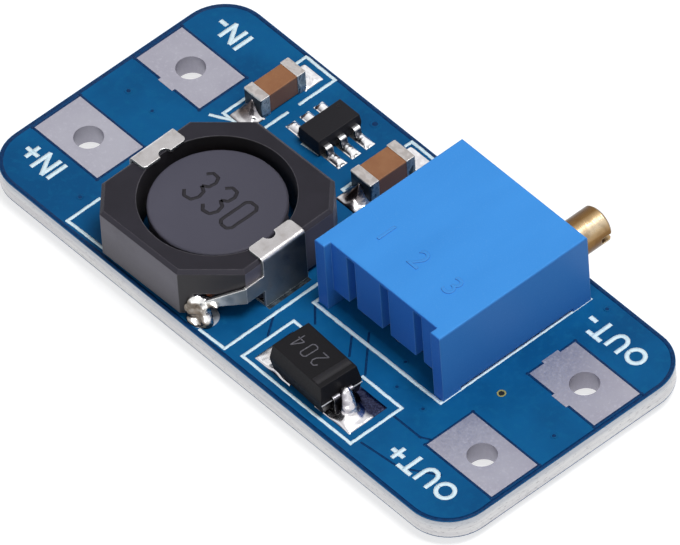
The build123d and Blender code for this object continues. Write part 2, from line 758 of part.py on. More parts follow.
# round pins from the element through the board, each with its plated hole and solder cone
for label, (x, y) in zip(("left", "wiper", "right"), pin_places):
    with BuildPart() as pin:
        with BuildSketch(Plane.XY.offset(-pin_tail)):
            with Locations((x, y)):
                Circle(pin_radius)
        extrude(amount=element_bottom + pin_tail)
    write(pin.part, f"trimmer_pin_{label}")
    with BuildPart() as pin_joint:
        with BuildSketch(Plane.XY.offset(core_top)):
            with Locations((x, y)):
                Circle(pin_land_radius)
        extrude(amount=seat - core_top)
        with BuildSketch(Plane.XY.offset(core_bottom)):
            with Locations((x, y)):
                Circle(pin_hole_radius)
        extrude(amount=core_top - core_bottom)
        with BuildSketch(Plane.XY.offset(-tin_thickness)):
            with Locations((x, y)):
                Circle(pin_land_radius)
        extrude(amount=core_bottom + tin_thickness)
        with Locations((x, y, -tin_thickness)):
            Cone(
                pin_joint_tip_radius,
                pin_joint_base_radius,
                pin_joint_height,
                align=(Align.CENTER, Align.CENTER, Align.MAX),
            )
        with BuildSketch(Plane.XY.offset(-pin_tail)):
            with Locations((x, y)):
                Circle(pin_radius)
        extrude(amount=element_bottom + pin_tail, mode=Mode.SUBTRACT)
    write(pin_joint.part, f"pin_joint_{label}")


def side_section(x, y, heading):
    # upright plane at a place on the board: its x runs along the heading, its y upwards
    along = (cos(radians(heading)), sin(radians(heading)), 0)
    across = (sin(radians(heading)), -cos(radians(heading)), 0)
    return Plane(origin=(x, y, 0), x_dir=along, z_dir=across)


def solder_land(x, y, heading, land, land_width):
    # a land from land[0] to land[1] along the heading, up to the level that the pieces stand on
    with BuildPart() as tinned:
        with BuildSketch(side_section(x, y, heading)):
            with Locations(((land[0] + land[1]) / 2, (core_top + seat) / 2)):
                Rectangle(land[1] - land[0], seat - core_top)
        extrude(amount=land_width / 2, both=True)
    return tinned.part


def solder_fillet(x, y, heading, face, reach, height, width):
    # a hollow fillet that stands on a land and leans against the face
    with BuildPart() as hollow:
        with BuildSketch(side_section(x, y, heading)):
            with BuildLine():
                Line((face, seat), (face + reach, seat))
                ThreePointArc(
                    (face + reach, seat),
                    (face + solder_bow * reach, seat + solder_bow * height),
                    (face, seat + height),
                )
                Line((face, seat + height), (face, seat))
            make_face()
        extrude(amount=width / 2, both=True)
    return hollow.part


def solder_joint(x, y, heading, land, land_width, face, reach, height, width):
    # a land with a fillet on it, both along the same heading
    with BuildPart() as joint:
        add(solder_land(x, y, heading, land, land_width))
        add(solder_fillet(x, y, heading, face, reach, height, width))
    return joint.part


# ceramic capacitors: body, two end caps and two solder joints each
for name, x, y, width in capacitors:
    with BuildPart() as ceramic:
        with BuildSketch(Plane.XY.offset(seat + cap_wall)):
            with Locations((x, y)):
                Rectangle(width - 2 * cap_wall, capacitor_length - 2 * cap_wall)
        extrude(amount=capacitor_height - 2 * cap_wall)
        fillet(ceramic.edges(), radius=ceramic_edge_radius - cap_wall)
    write(ceramic.part, f"{name}_body")
    for end, side in (("front", -1), ("back", 1)):
        with BuildPart() as cap:
            with BuildSketch(Plane.XY.offset(seat)):
                with Locations((x, y + side * (capacitor_length - capacitor_cap_length) / 2)):
                    Rectangle(width, capacitor_cap_length)
            extrude(amount=capacitor_height)
            outer_face = cap.faces().sort_by(Axis.Y)[0 if side < 0 else -1]
            fillet(outer_face.edges(), radius=ceramic_edge_radius)
            add(ceramic.part, mode=Mode.SUBTRACT)
        write(cap.part, f"{name}_{end}_cap")
        outer = capacitor_length / 2 + capacitor_land_reach
        joint = solder_joint(
            x,
            y,
            90 * side,
            (outer - capacitor_land_length, outer),
            width + 2 * capacitor_land_margin,
            capacitor_length / 2,
            capacitor_land_reach * solder_spread,
            capacitor_fillet_height,
            width - 2 * ceramic_edge_radius,
        )
        write(joint, f"{name}_{end}_joint")

# converter chip: moulded body with an upright band at the level of its leads
chip_base = seat + chip_standoff
chip_parting = seat + lead_level
with BuildPart() as chip_body:
    with BuildSketch(Plane.XY.offset(chip_parting)):
        with Locations((chip_x, chip_y)):
            Rectangle(chip_width, chip_length)
    extrude(amount=chip_band)
    with BuildSketch(Plane.XY.offset(chip_parting)):
        with Locations((chip_x, chip_y)):
            Rectangle(chip_width, chip_length)
    extrude(amount=-(chip_parting - chip_base), taper=chip_taper)
    with BuildSketch(Plane.XY.offset(chip_parting + chip_band)):
        with Locations((chip_x, chip_y)):
            Rectangle(chip_width, chip_length)
    extrude(amount=seat + chip_height - chip_parting - chip_band, taper=chip_taper)
write(chip_body.part, "chip_body")

# gull-wing leads, each soldered to its land
lead_middle = chip_parting + lead_thickness / 2
foot_middle = seat + lead_thickness / 2
for number in range(6):
    side = -1 if number < 3 else 1
    row = number % 3 - 1
    place = (chip_x, chip_y + row * lead_pitch)
    heading = 90 - 90 * side
    with BuildPart() as lead:
        with BuildSketch(side_section(*place, heading)):
            with BuildLine():
                FilletPolyline(
                    (chip_width / 2, lead_middle),
                    (lead_span / 2 - lead_foot_length + lead_thickness / 2, lead_middle),
                    (lead_span / 2 - lead_foot_length + lead_thickness, foot_middle),
                    (lead_span / 2, foot_middle),
                    radius=lead_bend_radius,
                )
            trace(line_width=lead_thickness)
        extrude(amount=lead_width / 2, both=True)
        add(
            solder_joint(
                *place,
                heading,
                (lead_land_inner, lead_land_outer),
                lead_land_width,
                lead_span / 2,
                lead_land_reach * solder_spread,
                lead_thickness,
                lead_width,
            )
        )
    write(lead.part, f"chip_lead_{number + 1}")

# diode: moulded body on two leads that fold under it
diode_base = seat + diode_standoff
diode_parting = seat + diode_parting_level
with BuildPart() as diode_body:
    with BuildSketch(Plane.XY.offset(diode_parting)):
        with Locations((diode_x, diode_y)):
            Rectangle(diode_length, diode_width, rotation=diode_turn)
    extrude(amount=diode_band)
    with BuildSketch(Plane.XY.offset(diode_parting)):
        with Locations((diode_x, diode_y)):
            Rectangle(diode_length, diode_width, rotation=diode_turn)
    extrude(amount=-(diode_parting - diode_base), taper=diode_taper)
    with BuildSketch(Plane.XY.offset(diode_parting + diode_band)):
        with Locations((diode_x, diode_y)):
            Rectangle(diode_length, diode_width, rotation=diode_turn)
    extrude(amount=seat + diode_height - diode_parting - diode_band, taper=diode_taper)
write(diode_body.part, "diode_body")

for name, side in (("anode", -1), ("cathode", 1)):
    heading = 90 - 90 * side
    lead_outer = diode_length / 2 + diode_lead_shoulder
    lead_line = lead_outer - diode_lead_thickness / 2
    with BuildPart() as lead:
        with BuildSketch(side_section(diode_x, diode_y, heading + diode_turn)):
            with BuildLine():
                FilletPolyline(
                    (diode_length / 2, diode_parting + diode_band / 2),
                    (lead_line, diode_parting + diode_band / 2),
                    (lead_line, seat + diode_lead_thickness / 2),
                    (diode_length / 2 - diode_lead_foot, seat + diode_lead_thickness / 2),
                    radius=lead_bend_radius,
                )
            trace(line_width=diode_lead_thickness)
        extrude(amount=diode_lead_width / 2, both=True)
    write(lead.part, f"diode_{name}_lead")
    lead_heading = heading + diode_turn
    toe_reach = (diode_land_outer - lead_outer) * solder_spread
    with BuildPart() as joint:
        add(
            solder_land(
                diode_lands_x,
                diode_lands_y,
                heading,
                (diode_land_inner, diode_land_outer),
                diode_land_width,
            )
        )
        for shift, reach, height, width in (
            (0, toe_reach, diode_fillet_height, diode_lead_width),
            (solder_peak_shift, solder_peak_reach, solder_peak_height, solder_peak_width),
        ):
            y = diode_y + shift
            add(solder_fillet(diode_x, y, lead_heading, lead_line, reach, height, width))
        add(lead.part, mode=Mode.SUBTRACT)
    write(joint.part, f"diode_{name}_joint")

# feedback resistor: a flat ceramic chip between two soldered ends
with BuildPart() as resistor_body:
    with BuildSketch(Plane.XY.offset(seat)):
        with Locations((resistor_x, resistor_y)):
            Rectangle(resistor_width, resistor_length - 2 * resistor_end_length)
    extrude(amount=resistor_height)
write(resistor_body.part, "feedback_resistor_body")

for end, side in (("front", -1), ("back", 1)):
    with BuildPart() as resistor_end:
        with BuildSketch(Plane.XY.offset(seat)):
            end_y = resistor_y + side * (resistor_length - resistor_end_length) / 2
            with Locations((resistor_x, end_y)):
                Rectangle(resistor_width, resistor_end_length)
        extrude(amount=resistor_height)
        add(
            solder_joint(
                resistor_x,
                resistor_y,
                90 * side,
                (resistor_land_inner, resistor_land_outer),
                resistor_land_width,
                resistor_length / 2,
                resistor_land_reach * solder_spread,
                resistor_height,
                resistor_width,
            )
        )
    write(resistor_end.part, f"feedback_resistor_{end}_end")
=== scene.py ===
# Boost converter module: looks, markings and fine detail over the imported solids.
import bpy
from math import cos, radians, sin
from mathutils import Matrix, Vector, noise


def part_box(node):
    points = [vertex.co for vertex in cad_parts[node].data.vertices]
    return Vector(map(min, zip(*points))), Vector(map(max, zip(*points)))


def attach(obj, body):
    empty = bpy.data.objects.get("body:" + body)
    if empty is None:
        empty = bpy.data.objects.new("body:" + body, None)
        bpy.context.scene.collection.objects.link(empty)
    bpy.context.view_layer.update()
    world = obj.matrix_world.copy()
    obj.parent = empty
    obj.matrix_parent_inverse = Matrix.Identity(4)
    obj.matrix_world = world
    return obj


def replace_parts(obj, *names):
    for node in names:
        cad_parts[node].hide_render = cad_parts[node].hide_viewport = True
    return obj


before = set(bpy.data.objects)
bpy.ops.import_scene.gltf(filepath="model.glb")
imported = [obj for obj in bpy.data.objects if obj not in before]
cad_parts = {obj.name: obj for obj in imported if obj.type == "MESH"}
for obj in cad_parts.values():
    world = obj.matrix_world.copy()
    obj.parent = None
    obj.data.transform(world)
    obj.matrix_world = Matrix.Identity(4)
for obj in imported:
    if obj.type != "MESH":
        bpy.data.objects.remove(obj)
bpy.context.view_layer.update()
mm = 0.001
print("frame loaded")


# helpers for colours and nodes

def linear(hexText):
    channels = [int(hexText[i:i + 2], 16) / 255 for i in (1, 3, 5)]
    return [c / 12.92 if c <= 0.04045 else ((c + 0.055) / 1.055) ** 2.4 for c in channels] + [1]


def addNode(tree, kind, inputs=None, **settings):
    # an input takes a socket to link, a plain value or a hex colour
    made = tree.nodes.new(kind)
    for key, value in settings.items():
        setattr(made, key, value)
    for key, value in (inputs or {}).items():
        if isinstance(value, bpy.types.NodeSocket):
            tree.links.new(value, made.inputs[key])
        elif isinstance(value, str) and value.startswith("#"):
            made.inputs[key].default_value = linear(value)
        else:
            made.inputs[key].default_value = value
    return made


def emptyTree(owner):
    owner.use_nodes = True
    owner.node_tree.nodes.clear()
    return owner.node_tree


def grains(tree, place, size, detail=3, rough=0.55):
    # noise whose blotches are about this many millimetres across
    look = {"Vector": place, "Scale": 1 / (size * mm), "Detail": detail, "Roughness": rough}
    return addNode(tree, "ShaderNodeTexNoise", look).outputs[0]


def stretched(tree, place, x, y, z, turn=0):
    look = {"Vector": place, "Scale": (x, y, z), "Rotation": (0, 0, radians(turn))}
    return addNode(tree, "ShaderNodeMapping", look).outputs[0]


def remap(tree, value, fromLow, fromHigh, low=0, high=1):
    look = {"Value": value, "From Min": fromLow, "From Max": fromHigh, "To Min": low, "To Max": high}
    return addNode(tree, "ShaderNodeMapRange", look).outputs[0]


def blendColours(tree, factor, first, second):
    return addNode(tree, "ShaderNodeMix", {0: factor, 6: first, 7: second}, data_type="RGBA").outputs[2]


def maths(tree, operation, first, second=0.0):
    return addNode(tree, "ShaderNodeMath", {0: first, 1: second}, operation=operation).outputs[0]


def relief(tree, height, depth, strength=1.0, under=None):
    look = {"Height": height, "Distance": depth * mm, "Strength": strength}
    if under is not None:
        look["Normal"] = under
    return addNode(tree, "ShaderNodeBump", look).outputs[0]


def edgeWear(tree, radius):
    # 0 on flat faces, rising to 1 on edges and corners, and the rounded normal; the materials paint edges
    # paler with it, partly worn, partly a painted highlight
    rounded = addNode(tree, "ShaderNodeBevel", {"Radius": radius * mm}, samples=6).outputs[0]
    plain = addNode(tree, "ShaderNodeNewGeometry").outputs["Normal"]
    meeting = addNode(tree, "ShaderNodeVectorMath", {0: rounded, 1: plain}, operation="DOT_PRODUCT")
    return remap(tree, meeting.outputs["Value"], 0.97, 0.72), rounded


def tonesByTilt(tree, normal, tones, jitter, swing=0.09, toward=(0.2, 0.25, 0.947)):
    # painted reflection: bare metal mirrors the pale room above and dark things beside it, so its colour is
    # painted by its tilt
    tilt = addNode(tree, "ShaderNodeVectorMath", {0: normal, 1: toward}, operation="DOT_PRODUCT")
    tilt = maths(tree, "ADD", tilt.outputs["Value"], remap(tree, jitter, 0.3, 0.7, -swing, swing))
    ramp = addNode(tree, "ShaderNodeValToRGB", {0: tilt})
    stops = ramp.color_ramp.elements
    while len(stops) < len(tones):
        stops.new(0.5)
    for stop, (position, colour) in zip(stops, tones.items()):
        stop.position = position
        stop.color = linear(colour)
    return ramp.outputs[0]


def upward(tree, high=0.8):
    # 0 on upright faces, 1 on level ones
    normal = addNode(tree, "ShaderNodeNewGeometry").outputs["Normal"]
    level = addNode(tree, "ShaderNodeSeparateXYZ", {0: normal}).outputs["Z"]
    return remap(tree, level, 0.2, high)


def upright(tree, high=0.8):
    return remap(tree, upward(tree, high), 0, 1, 1, 0)


def facing(tree, direction, low, high):
    # 1 on faces that look along the direction
    normal = addNode(tree, "ShaderNodeNewGeometry").outputs["Normal"]
    meeting = addNode(tree, "ShaderNodeVectorMath", {0: normal, 1: direction}, operation="DOT_PRODUCT")
    return remap(tree, meeting.outputs["Value"], low, high)


def startMaterial(name, **values):
    made = bpy.data.materials.new(name)
    tree = emptyTree(made)
    shader = addNode(tree, "ShaderNodeBsdfPrincipled")
    for key, value in values.items():
        shader.inputs[key.replace("_", " ")].default_value = value
    addNode(tree, "ShaderNodeOutputMaterial", {0: shader.outputs[0]})
    place = addNode(tree, "ShaderNodeTexCoord").outputs["Object"]
    return made, tree, shader, place


def roughBy(tree, pattern, low, high):
    return remap(tree, pattern, 0.3, 0.7, low, high)


def feed(tree, shader, colour, rough, normal):
    tree.links.new(colour, shader.inputs["Base Color"])
    tree.links.new(rough, shader.inputs["Roughness"])
    tree.links.new(normal, shader.inputs["Normal"])


# materials

def solderMask():
    # satin blue lacquer over copper: glass weave telegraphs through, thicker lacquer is deeper blue
    look = {"lacquer": "#0D5B90", "deep": "#0A4E80", "thin": "#136592", "weave": 0.42, "waveAtScale1": 0.31}
    made, tree, shader, place = startMaterial("blueSolderMaskLacquered", IOR=1.5, Specular_IOR_Level=0.08)
    flow = grains(tree, place, 5.0)
    fine = grains(tree, place, 0.35)
    colour = blendColours(tree, remap(tree, flow, 0.38, 0.62), look["deep"], look["lacquer"])
    colour = blendColours(tree, remap(tree, fine, 0.5, 0.8, 0, 0.5), colour, look["thin"])
    wave = {"Vector": place, "Scale": look["waveAtScale1"] / (look["weave"] * mm), "Distortion": 0.4}
    warp = addNode(tree, "ShaderNodeTexWave", wave, bands_direction="X").outputs[1]
    weft = addNode(tree, "ShaderNodeTexWave", wave, bands_direction="Y").outputs[1]
    normal = relief(tree, maths(tree, "MULTIPLY", warp, weft), 0.004, 0.35)
    normal = relief(tree, grains(tree, place, 0.12, 2), 0.004, 0.3, normal)
    feed(tree, shader, colour, roughBy(tree, fine, 0.36, 0.48), normal)
    return made


def bareGap():
    # mask lying straight on the laminate where the copper is etched away: darker, slightly sunk
    made, tree, shader, place = startMaterial("solderMaskOverEtchedGap", IOR=1.5, Specular_IOR_Level=0.1)
    fine = grains(tree, place, 0.2)
    colour = blendColours(tree, remap(tree, fine, 0.35, 0.7), "#082B55", "#0C3D6E")
    tree.links.new(colour, shader.inputs["Base Color"])
    tree.links.new(roughBy(tree, fine, 0.34, 0.5), shader.inputs["Roughness"])
    return made


def laminate():
    # routed edge of glass-epoxy: pale resin with layers of cut glass fibre, with grey specks of painted shade
    # where fibres tore out
    look = {"resin": "#E8E7EB", "fibre": "#FDFDFE", "shadow": "#8B8A93", "under": "#93A6BE", "layer": 0.2,
            "bluishFrom": 0.55, "bluishTo": 1.15}
    made, tree, shader, place = startMaterial(
        "glassEpoxyRoutedEdge", IOR=1.55, Coat_Weight=1.0, Coat_Roughness=0.45)
    layers = grains(tree, stretched(tree, place, 0.2, 0.2, 1 / look["layer"]), 1.0, 2)
    torn = grains(tree, stretched(tree, place, 0.35, 0.35, 1), 0.11, 4, 0.7)
    colour = blendColours(tree, remap(tree, layers, 0.35, 0.65), look["resin"], look["fibre"])
    colour = blendColours(tree, remap(tree, torn, 0.56, 0.7, 0, 0.7), colour, look["shadow"])
    # bluer towards the top of the edge
    level = addNode(tree, "ShaderNodeSeparateXYZ", {0: place}).outputs["Z"]
    stain = remap(tree, level, look["bluishFrom"] * mm, look["bluishTo"] * mm, 0, 0.6)
    colour = blendColours(tree, stain, colour, look["under"])
    feed(tree, shader, colour, roughBy(tree, torn, 0.5, 0.75), relief(tree, torn, 0.02, 0.6))
    return made


def levelledTin():
    # hot-levelled tin on a copper land: even, slightly lilac grey with faint ripples and scratches
    look = {"tin": "#A7A6B1", "dull": "#9D9BA8", "bright": "#B9B8C2"}
    made, tree, shader, place = startMaterial("hotLevelledTin", Metallic=0.85)
    pool = grains(tree, place, 3.2, 2)
    fine = grains(tree, place, 0.14)
    scratch = grains(tree, stretched(tree, place, 0.12, 1, 1, 34), 0.1, 2, 0.4)
    colour = blendColours(tree, remap(tree, pool, 0.35, 0.65), look["dull"], look["tin"])
    colour = blendColours(tree, remap(tree, fine, 0.55, 0.8, 0, 0.6), colour, look["bright"])
    feed(tree, shader, colour, roughBy(tree, fine, 0.42, 0.56), relief(tree, scratch, 0.002, 0.35))
    return made


def reflowedSolder(name, tones, flux="#9A8870", wrinkle=0.7, film=("#27263A", "#3F4560")):
    # solder that froze in place: softly wrinkled, bright and dark streaks side by side as painted reflection
    # by its tilt, and a film of flux where the mesh says that it is dull, which also paints dark reflection
    made, tree, shader, place = startMaterial(name, Metallic=1.0)
    ripple = grains(tree, place, 0.6, 2, 0.5)
    fine = grains(tree, place, 0.08, 2)
    normal = relief(tree, ripple, 0.06, wrinkle)
    normal = relief(tree, fine, 0.005, wrinkle * 0.6, normal)
    colour = tonesByTilt(tree, normal, tones, ripple)
    colour = blendColours(tree, remap(tree, grains(tree, place, 0.9, 2), 0.58, 0.75, 0, 0.4), colour, flux)
    dull = addNode(tree, "ShaderNodeAttribute", attribute_name="dull").outputs["Fac"]
    skin = blendColours(tree, remap(tree, fine, 0.35, 0.7), film[0], film[1])
    colour = blendColours(tree, dull, colour, skin)
    feed(tree, shader, colour, roughBy(tree, ripple, 0.3, 0.16), normal)
    return made


def firedFerrite(name, body, pale, gloss, bore, paintedFarShade=None):
    # pressed and fired ferrite: the ground top stays dull charcoal, the fired sides keep a grey sheen;
    # painted shade darkens the sides towards the bottom, faces towards the front corner, the bore and, on the
    # core, the top towards +X+Y; edges are paler, partly worn, partly a painted highlight
    look = {"axis": (-5.1, -3.3), "farFrom": -8.6, "farTo": -3.0, "sideFrom": 1.3, "sideTo": 3.4,
            "pore": "#1B191D", "sideFootShade": "#37353C", "sideHigh": "#5D5B67", "sideCloud": "#4A4852",
            "corner": "#1E1C21", "scuffedAndHighlit": "#8D8A92", "paintedBoreShade": "#0E0C0E"}
    made, tree, shader, place = startMaterial(name, IOR=1.6)
    cloud = grains(tree, place, 2.2)
    pores = grains(tree, place, 0.05, 3, 0.7)
    wornAndLitEdge, rounded = edgeWear(tree, 0.11)
    scuffAndHighlight = maths(tree, "MULTIPLY", wornAndLitEdge, remap(tree, grains(tree, place, 0.5), 0.3, 0.6, 0.35, 1))
    colour = blendColours(tree, remap(tree, cloud, 0.35, 0.65, 0, 0.35), body, pale)
    # painted shade: the core's top darker towards +X+Y
    if paintedFarShade:
        toBack = {0: place, 1: (0.707, 0.707, 0)}
        across = addNode(tree, "ShaderNodeVectorMath", toBack, operation="DOT_PRODUCT").outputs["Value"]
        across = remap(tree, across, look["farFrom"] * mm, look["farTo"] * mm)
        colour = blendColours(tree, across, colour, paintedFarShade)
    colour = blendColours(tree, remap(tree, pores, 0.62, 0.8, 0, 0.8), colour, look["pore"])
    # painted shade: the upright sides darker towards the bottom
    level = addNode(tree, "ShaderNodeSeparateXYZ", {0: place}).outputs["Z"]
    level = remap(tree, level, look["sideFrom"] * mm, look["sideTo"] * mm)
    sides = blendColours(tree, level, look["sideFootShade"], look["sideHigh"])
    sides = blendColours(tree, remap(tree, cloud, 0.5, 0.7, 0, 0.5), sides, look["sideCloud"])
    colour = blendColours(tree, upward(tree), sides, colour)
    # painted shade on faces that look towards the front corner
    colour = blendColours(tree, facing(tree, (0.707, -0.707, 0), 0.75, 0.95), colour, look["corner"])
    # paler edges: partly worn, partly a painted highlight
    colour = blendColours(tree, maths(tree, "MULTIPLY", scuffAndHighlight, 0.8), colour, look["scuffedAndHighlit"])
    # painted shade on upright faces inside the bore
    flat = addNode(tree, "ShaderNodeVectorMath", {0: place, 1: (1, 1, 0)}, operation="MULTIPLY").outputs[0]
    axis = (look["axis"][0] * mm, look["axis"][1] * mm, 0)
    reach = addNode(tree, "ShaderNodeVectorMath", {0: flat, 1: axis}, operation="DISTANCE").outputs["Value"]
    near = remap(tree, reach, (bore + 0.03) * mm, bore * mm, 0, 0.9)
    colour = blendColours(tree, maths(tree, "MULTIPLY", near, upright(tree)), colour, look["paintedBoreShade"])
    tree.links.new(remap(tree, upward(tree), 0, 1, 0.3, 0.1), shader.inputs["Specular IOR Level"])
    feed(tree, shader, colour, roughBy(tree, pores, gloss - 0.06, gloss + 0.08),
         relief(tree, pores, 0.012, 0.6, rounded))
    return made


def springStrip():
    # stamped and tinned strip: painted reflection makes it pale on its folded tab, painted shade makes it
    # dark grey where it stands upright, and its bends are bright, partly worn, partly a painted highlight
    look = {"stain": "#8E857C", "uprightShade": "#363E47", "uprightShadeFrom": -5.0, "uprightShadeTo": -2.4, "wetted": "#D5D8DA",
            "joints": ((-1.95, -7.8, 2.2), (-8.25, 1.1, 2.2)), "wetFrom": 2.6, "wetTo": 1.2,
            "rubbedAndHighlit": "#F4F2F0"}
    tones = {0.0: "#7F868B", 0.3: "#888E92", 0.5: "#A3A9AB", 0.72: "#F0EFF0", 0.86: "#C6C3C4", 1.0: "#B2AEAE"}
    made, tree, shader, place = startMaterial("tinnedSpringStrip", Metallic=1.0)
    roll = grains(tree, stretched(tree, place, 1, 0.08, 1), 0.12, 3, 0.6)
    stain = grains(tree, place, 0.8)
    wornAndLitEdge, rounded = edgeWear(tree, 0.08)
    normal = relief(tree, roll, 0.006, 0.5, rounded)
    normal = relief(tree, stain, 0.06, 0.4, normal)
    colour = tonesByTilt(tree, normal, tones, stain)
    colour = blendColours(tree, remap(tree, stain, 0.56, 0.72, 0, 0.35), colour, look["stain"])
    # painted shade: upright faces darker towards +Y
    along = addNode(tree, "ShaderNodeSeparateXYZ", {0: place}).outputs["Y"]
    along = remap(tree, along, look["uprightShadeFrom"] * mm, look["uprightShadeTo"] * mm, 0, 0.9)
    colour = blendColours(tree, maths(tree, "MULTIPLY", along, upright(tree, 0.7)), colour, look["uprightShade"])
    for joint in look["joints"]:
        between = {0: place, 1: [c * mm for c in joint]}
        away = addNode(tree, "ShaderNodeVectorMath", between, operation="DISTANCE").outputs["Value"]
        near = remap(tree, away, look["wetFrom"] * mm, look["wetTo"] * mm)
        wetted = maths(tree, "MULTIPLY", near, remap(tree, stain, 0.35, 0.6, 0, 0.8))
        colour = blendColours(tree, wetted, colour, look["wetted"])
    # paler edges: partly worn, partly a painted highlight
    colour = blendColours(tree, maths(tree, "MULTIPLY", wornAndLitEdge, 0.7), colour, look["rubbedAndHighlit"])
    rougher = remap(tree, upward(tree, 0.7), 0, 1, 0.26, 0)
    smoother = remap(tree, stain, 0.35, 0.65, 0.24, 0.38)
    feed(tree, shader, colour, maths(tree, "ADD", smoother, rougher), normal)
    return made


def mouldedPlastic(name, body, deep, pale, texture=0.07, gloss=0.42, front=None, side=None):
    # injection-moulded plastic: fine spark-eroded texture, faint flow lines, paler edges, partly worn, partly
    # a painted highlight; where front and side colours are given, they are painted shade on faces that look
    # along -Y and +X
    made, tree, shader, place = startMaterial(name, IOR=1.5, Specular_IOR_Level=0.14)
    flow = grains(tree, stretched(tree, place, 1, 0.3, 1, 20), 3.0, 2)
    skin = grains(tree, place, texture, 3, 0.65)
    wornAndLitEdge, rounded = edgeWear(tree, 0.09)
    colour = blendColours(tree, remap(tree, flow, 0.3, 0.7), body, deep)
    # painted shade: darker copies of the plastic on faces that look along -Y and along +X
    if front:
        colour = blendColours(tree, facing(tree, (0, -1, 0), 0.5, 0.9), colour, front)
        colour = blendColours(tree, facing(tree, (1, 0, 0), 0.5, 0.9), colour, side)
    colour = blendColours(tree, remap(tree, skin, 0.58, 0.8, 0, 0.3), colour, pale)
    colour = blendColours(tree, maths(tree, "MULTIPLY", wornAndLitEdge, 0.55), colour, pale)
    feed(tree, shader, colour, roughBy(tree, skin, gloss - 0.05, gloss + 0.08),
         relief(tree, skin, 0.01, 0.5, rounded))
    return made


def turnedBrass():
    # brass turned on a lathe: fine rings round the screw, brown tarnish in patches, a painted highlight band
    # along the screw by its tilt, and bright rims, partly worn, partly a painted highlight
    look = {"tarnish": "#654727", "rim": "#EBD6B0", "ring": 0.045, "swing": 0.03, "toward": (0.58, 0.0, 0.81)}
    tones = {0.0: "#3C2A14", 0.45: "#64492C", 0.8: "#85663F", 0.93: "#C0A47C", 1.0: "#DDCBAD"}
    made, tree, shader, place = startMaterial("turnedBrass", Metallic=1.0)
    rings = grains(tree, stretched(tree, place, 0.02, 1, 0.02), look["ring"], 2, 0.4)
    patch = grains(tree, place, 0.7)
    wornAndLitEdge, rounded = edgeWear(tree, 0.07)
    normal = relief(tree, rings, 0.008, 0.6, rounded)
    # painted highlight: the colour peaks where the surface faces the toward direction
    metal = tonesByTilt(tree, normal, tones, patch, look["swing"], look["toward"])
    colour = blendColours(tree, remap(tree, patch, 0.45, 0.7, 0, 0.6), metal, look["tarnish"])
    colour = blendColours(tree, maths(tree, "MULTIPLY", wornAndLitEdge, 0.6), colour, look["rim"])
    feed(tree, shader, colour, remap(tree, patch, 0.35, 0.65, 0.2, 0.36), normal)
    return made


def firedCeramic(name, body, deep, speck, rubbedAndHighlit, side, size=0.09, gloss=0.45):
    # tape-cast and fired ceramic: fine speckle, with layers that show as faint bands on the sides; the side
    # colour is a painted shade on upright faces, and edges are paler, partly worn, partly a painted highlight
    made, tree, shader, place = startMaterial(name, IOR=1.6, Specular_IOR_Level=0.2)
    band = grains(tree, stretched(tree, place, 0.1, 0.1, 1), 0.07, 2)
    fine = grains(tree, place, size, 3, 0.7)
    colour = blendColours(tree, remap(tree, band, 0.35, 0.65, 0, 0.6), body, deep)
    colour = blendColours(tree, remap(tree, fine, 0.58, 0.78, 0, 0.7), colour, speck)
    # painted shade: upright faces take the side colour
    colour = blendColours(tree, upward(tree), side, colour)
    wornAndLitEdge, rounded = edgeWear(tree, 0.05)
    colour = blendColours(tree, maths(tree, "MULTIPLY", wornAndLitEdge, 0.8), colour, rubbedAndHighlit)
    feed(tree, shader, colour, roughBy(tree, fine, gloss - 0.07, gloss + 0.08),
         relief(tree, fine, 0.008, 0.5, rounded))
    return made


def platedCap():
    # fired silver with a nickel and tin plating: softly rough, with painted reflection that makes it dark
    # grey on its ends and streaked, and white edges, partly worn, partly a painted highlight
    tones = {0.0: "#3B434A", 0.08: "#6E777C", 0.2: "#C9CDCF", 0.32: "#8A9296", 0.5: "#A3A7A9",
             0.85: "#BDB7B5", 1.0: "#ABA5A2"}
    made, tree, shader, place = startMaterial("tinPlatedEndCap", Metallic=0.9)
    soft = grains(tree, place, 0.3)
    fine = grains(tree, place, 0.05, 3, 0.7)
    wornAndLitEdge, rounded = edgeWear(tree, 0.07)
    normal = relief(tree, soft, 0.04, 0.7, rounded)
    normal = relief(tree, fine, 0.006, 0.5, normal)
    streak = grains(tree, stretched(tree, place, 1, 1, 0.45), 0.34, 2, 0.45)
    colour = blendColours(tree, wornAndLitEdge, tonesByTilt(tree, normal, tones, streak, 0.22), "#F4F2F0")
    feed(tree, shader, colour, roughBy(tree, fine, 0.36, 0.5), normal)
    return made


def enamelledCopper():
    # copper wire under clear orange enamel: glossy coat, darker and paler in patches
    made, tree, shader, place = startMaterial(
        "enamelledCopperWire", Metallic=0.9, Coat_Weight=0.8, Coat_Roughness=0.12)
    patch = grains(tree, place, 0.5)
    colour = blendColours(tree, remap(tree, patch, 0.35, 0.65), "#8A3F18", "#C56A33")
    feed(tree, shader, colour, roughBy(tree, patch, 0.25, 0.4), relief(tree, patch, 0.01, 0.4))
    return made


def leadTin(name, tones):
    # matt tin plating on a stamped lead: painted reflection makes it dark where it stands upright and pale
    # where it lies flat, and its bends are white, partly worn, partly a painted highlight
    made, tree, shader, place = startMaterial(name, Metallic=1.0)
    soft = grains(tree, place, 0.25)
    wornAndLitEdge, rounded = edgeWear(tree, 0.05)
    normal = relief(tree, soft, 0.03, 0.5, rounded)
    colour = tonesByTilt(tree, normal, tones, soft)
    colour = blendColours(tree, maths(tree, "MULTIPLY", wornAndLitEdge, 0.5), colour, "#ECEAE6")
    feed(tree, shader, colour, roughBy(tree, soft, 0.24, 0.38), normal)
    return made


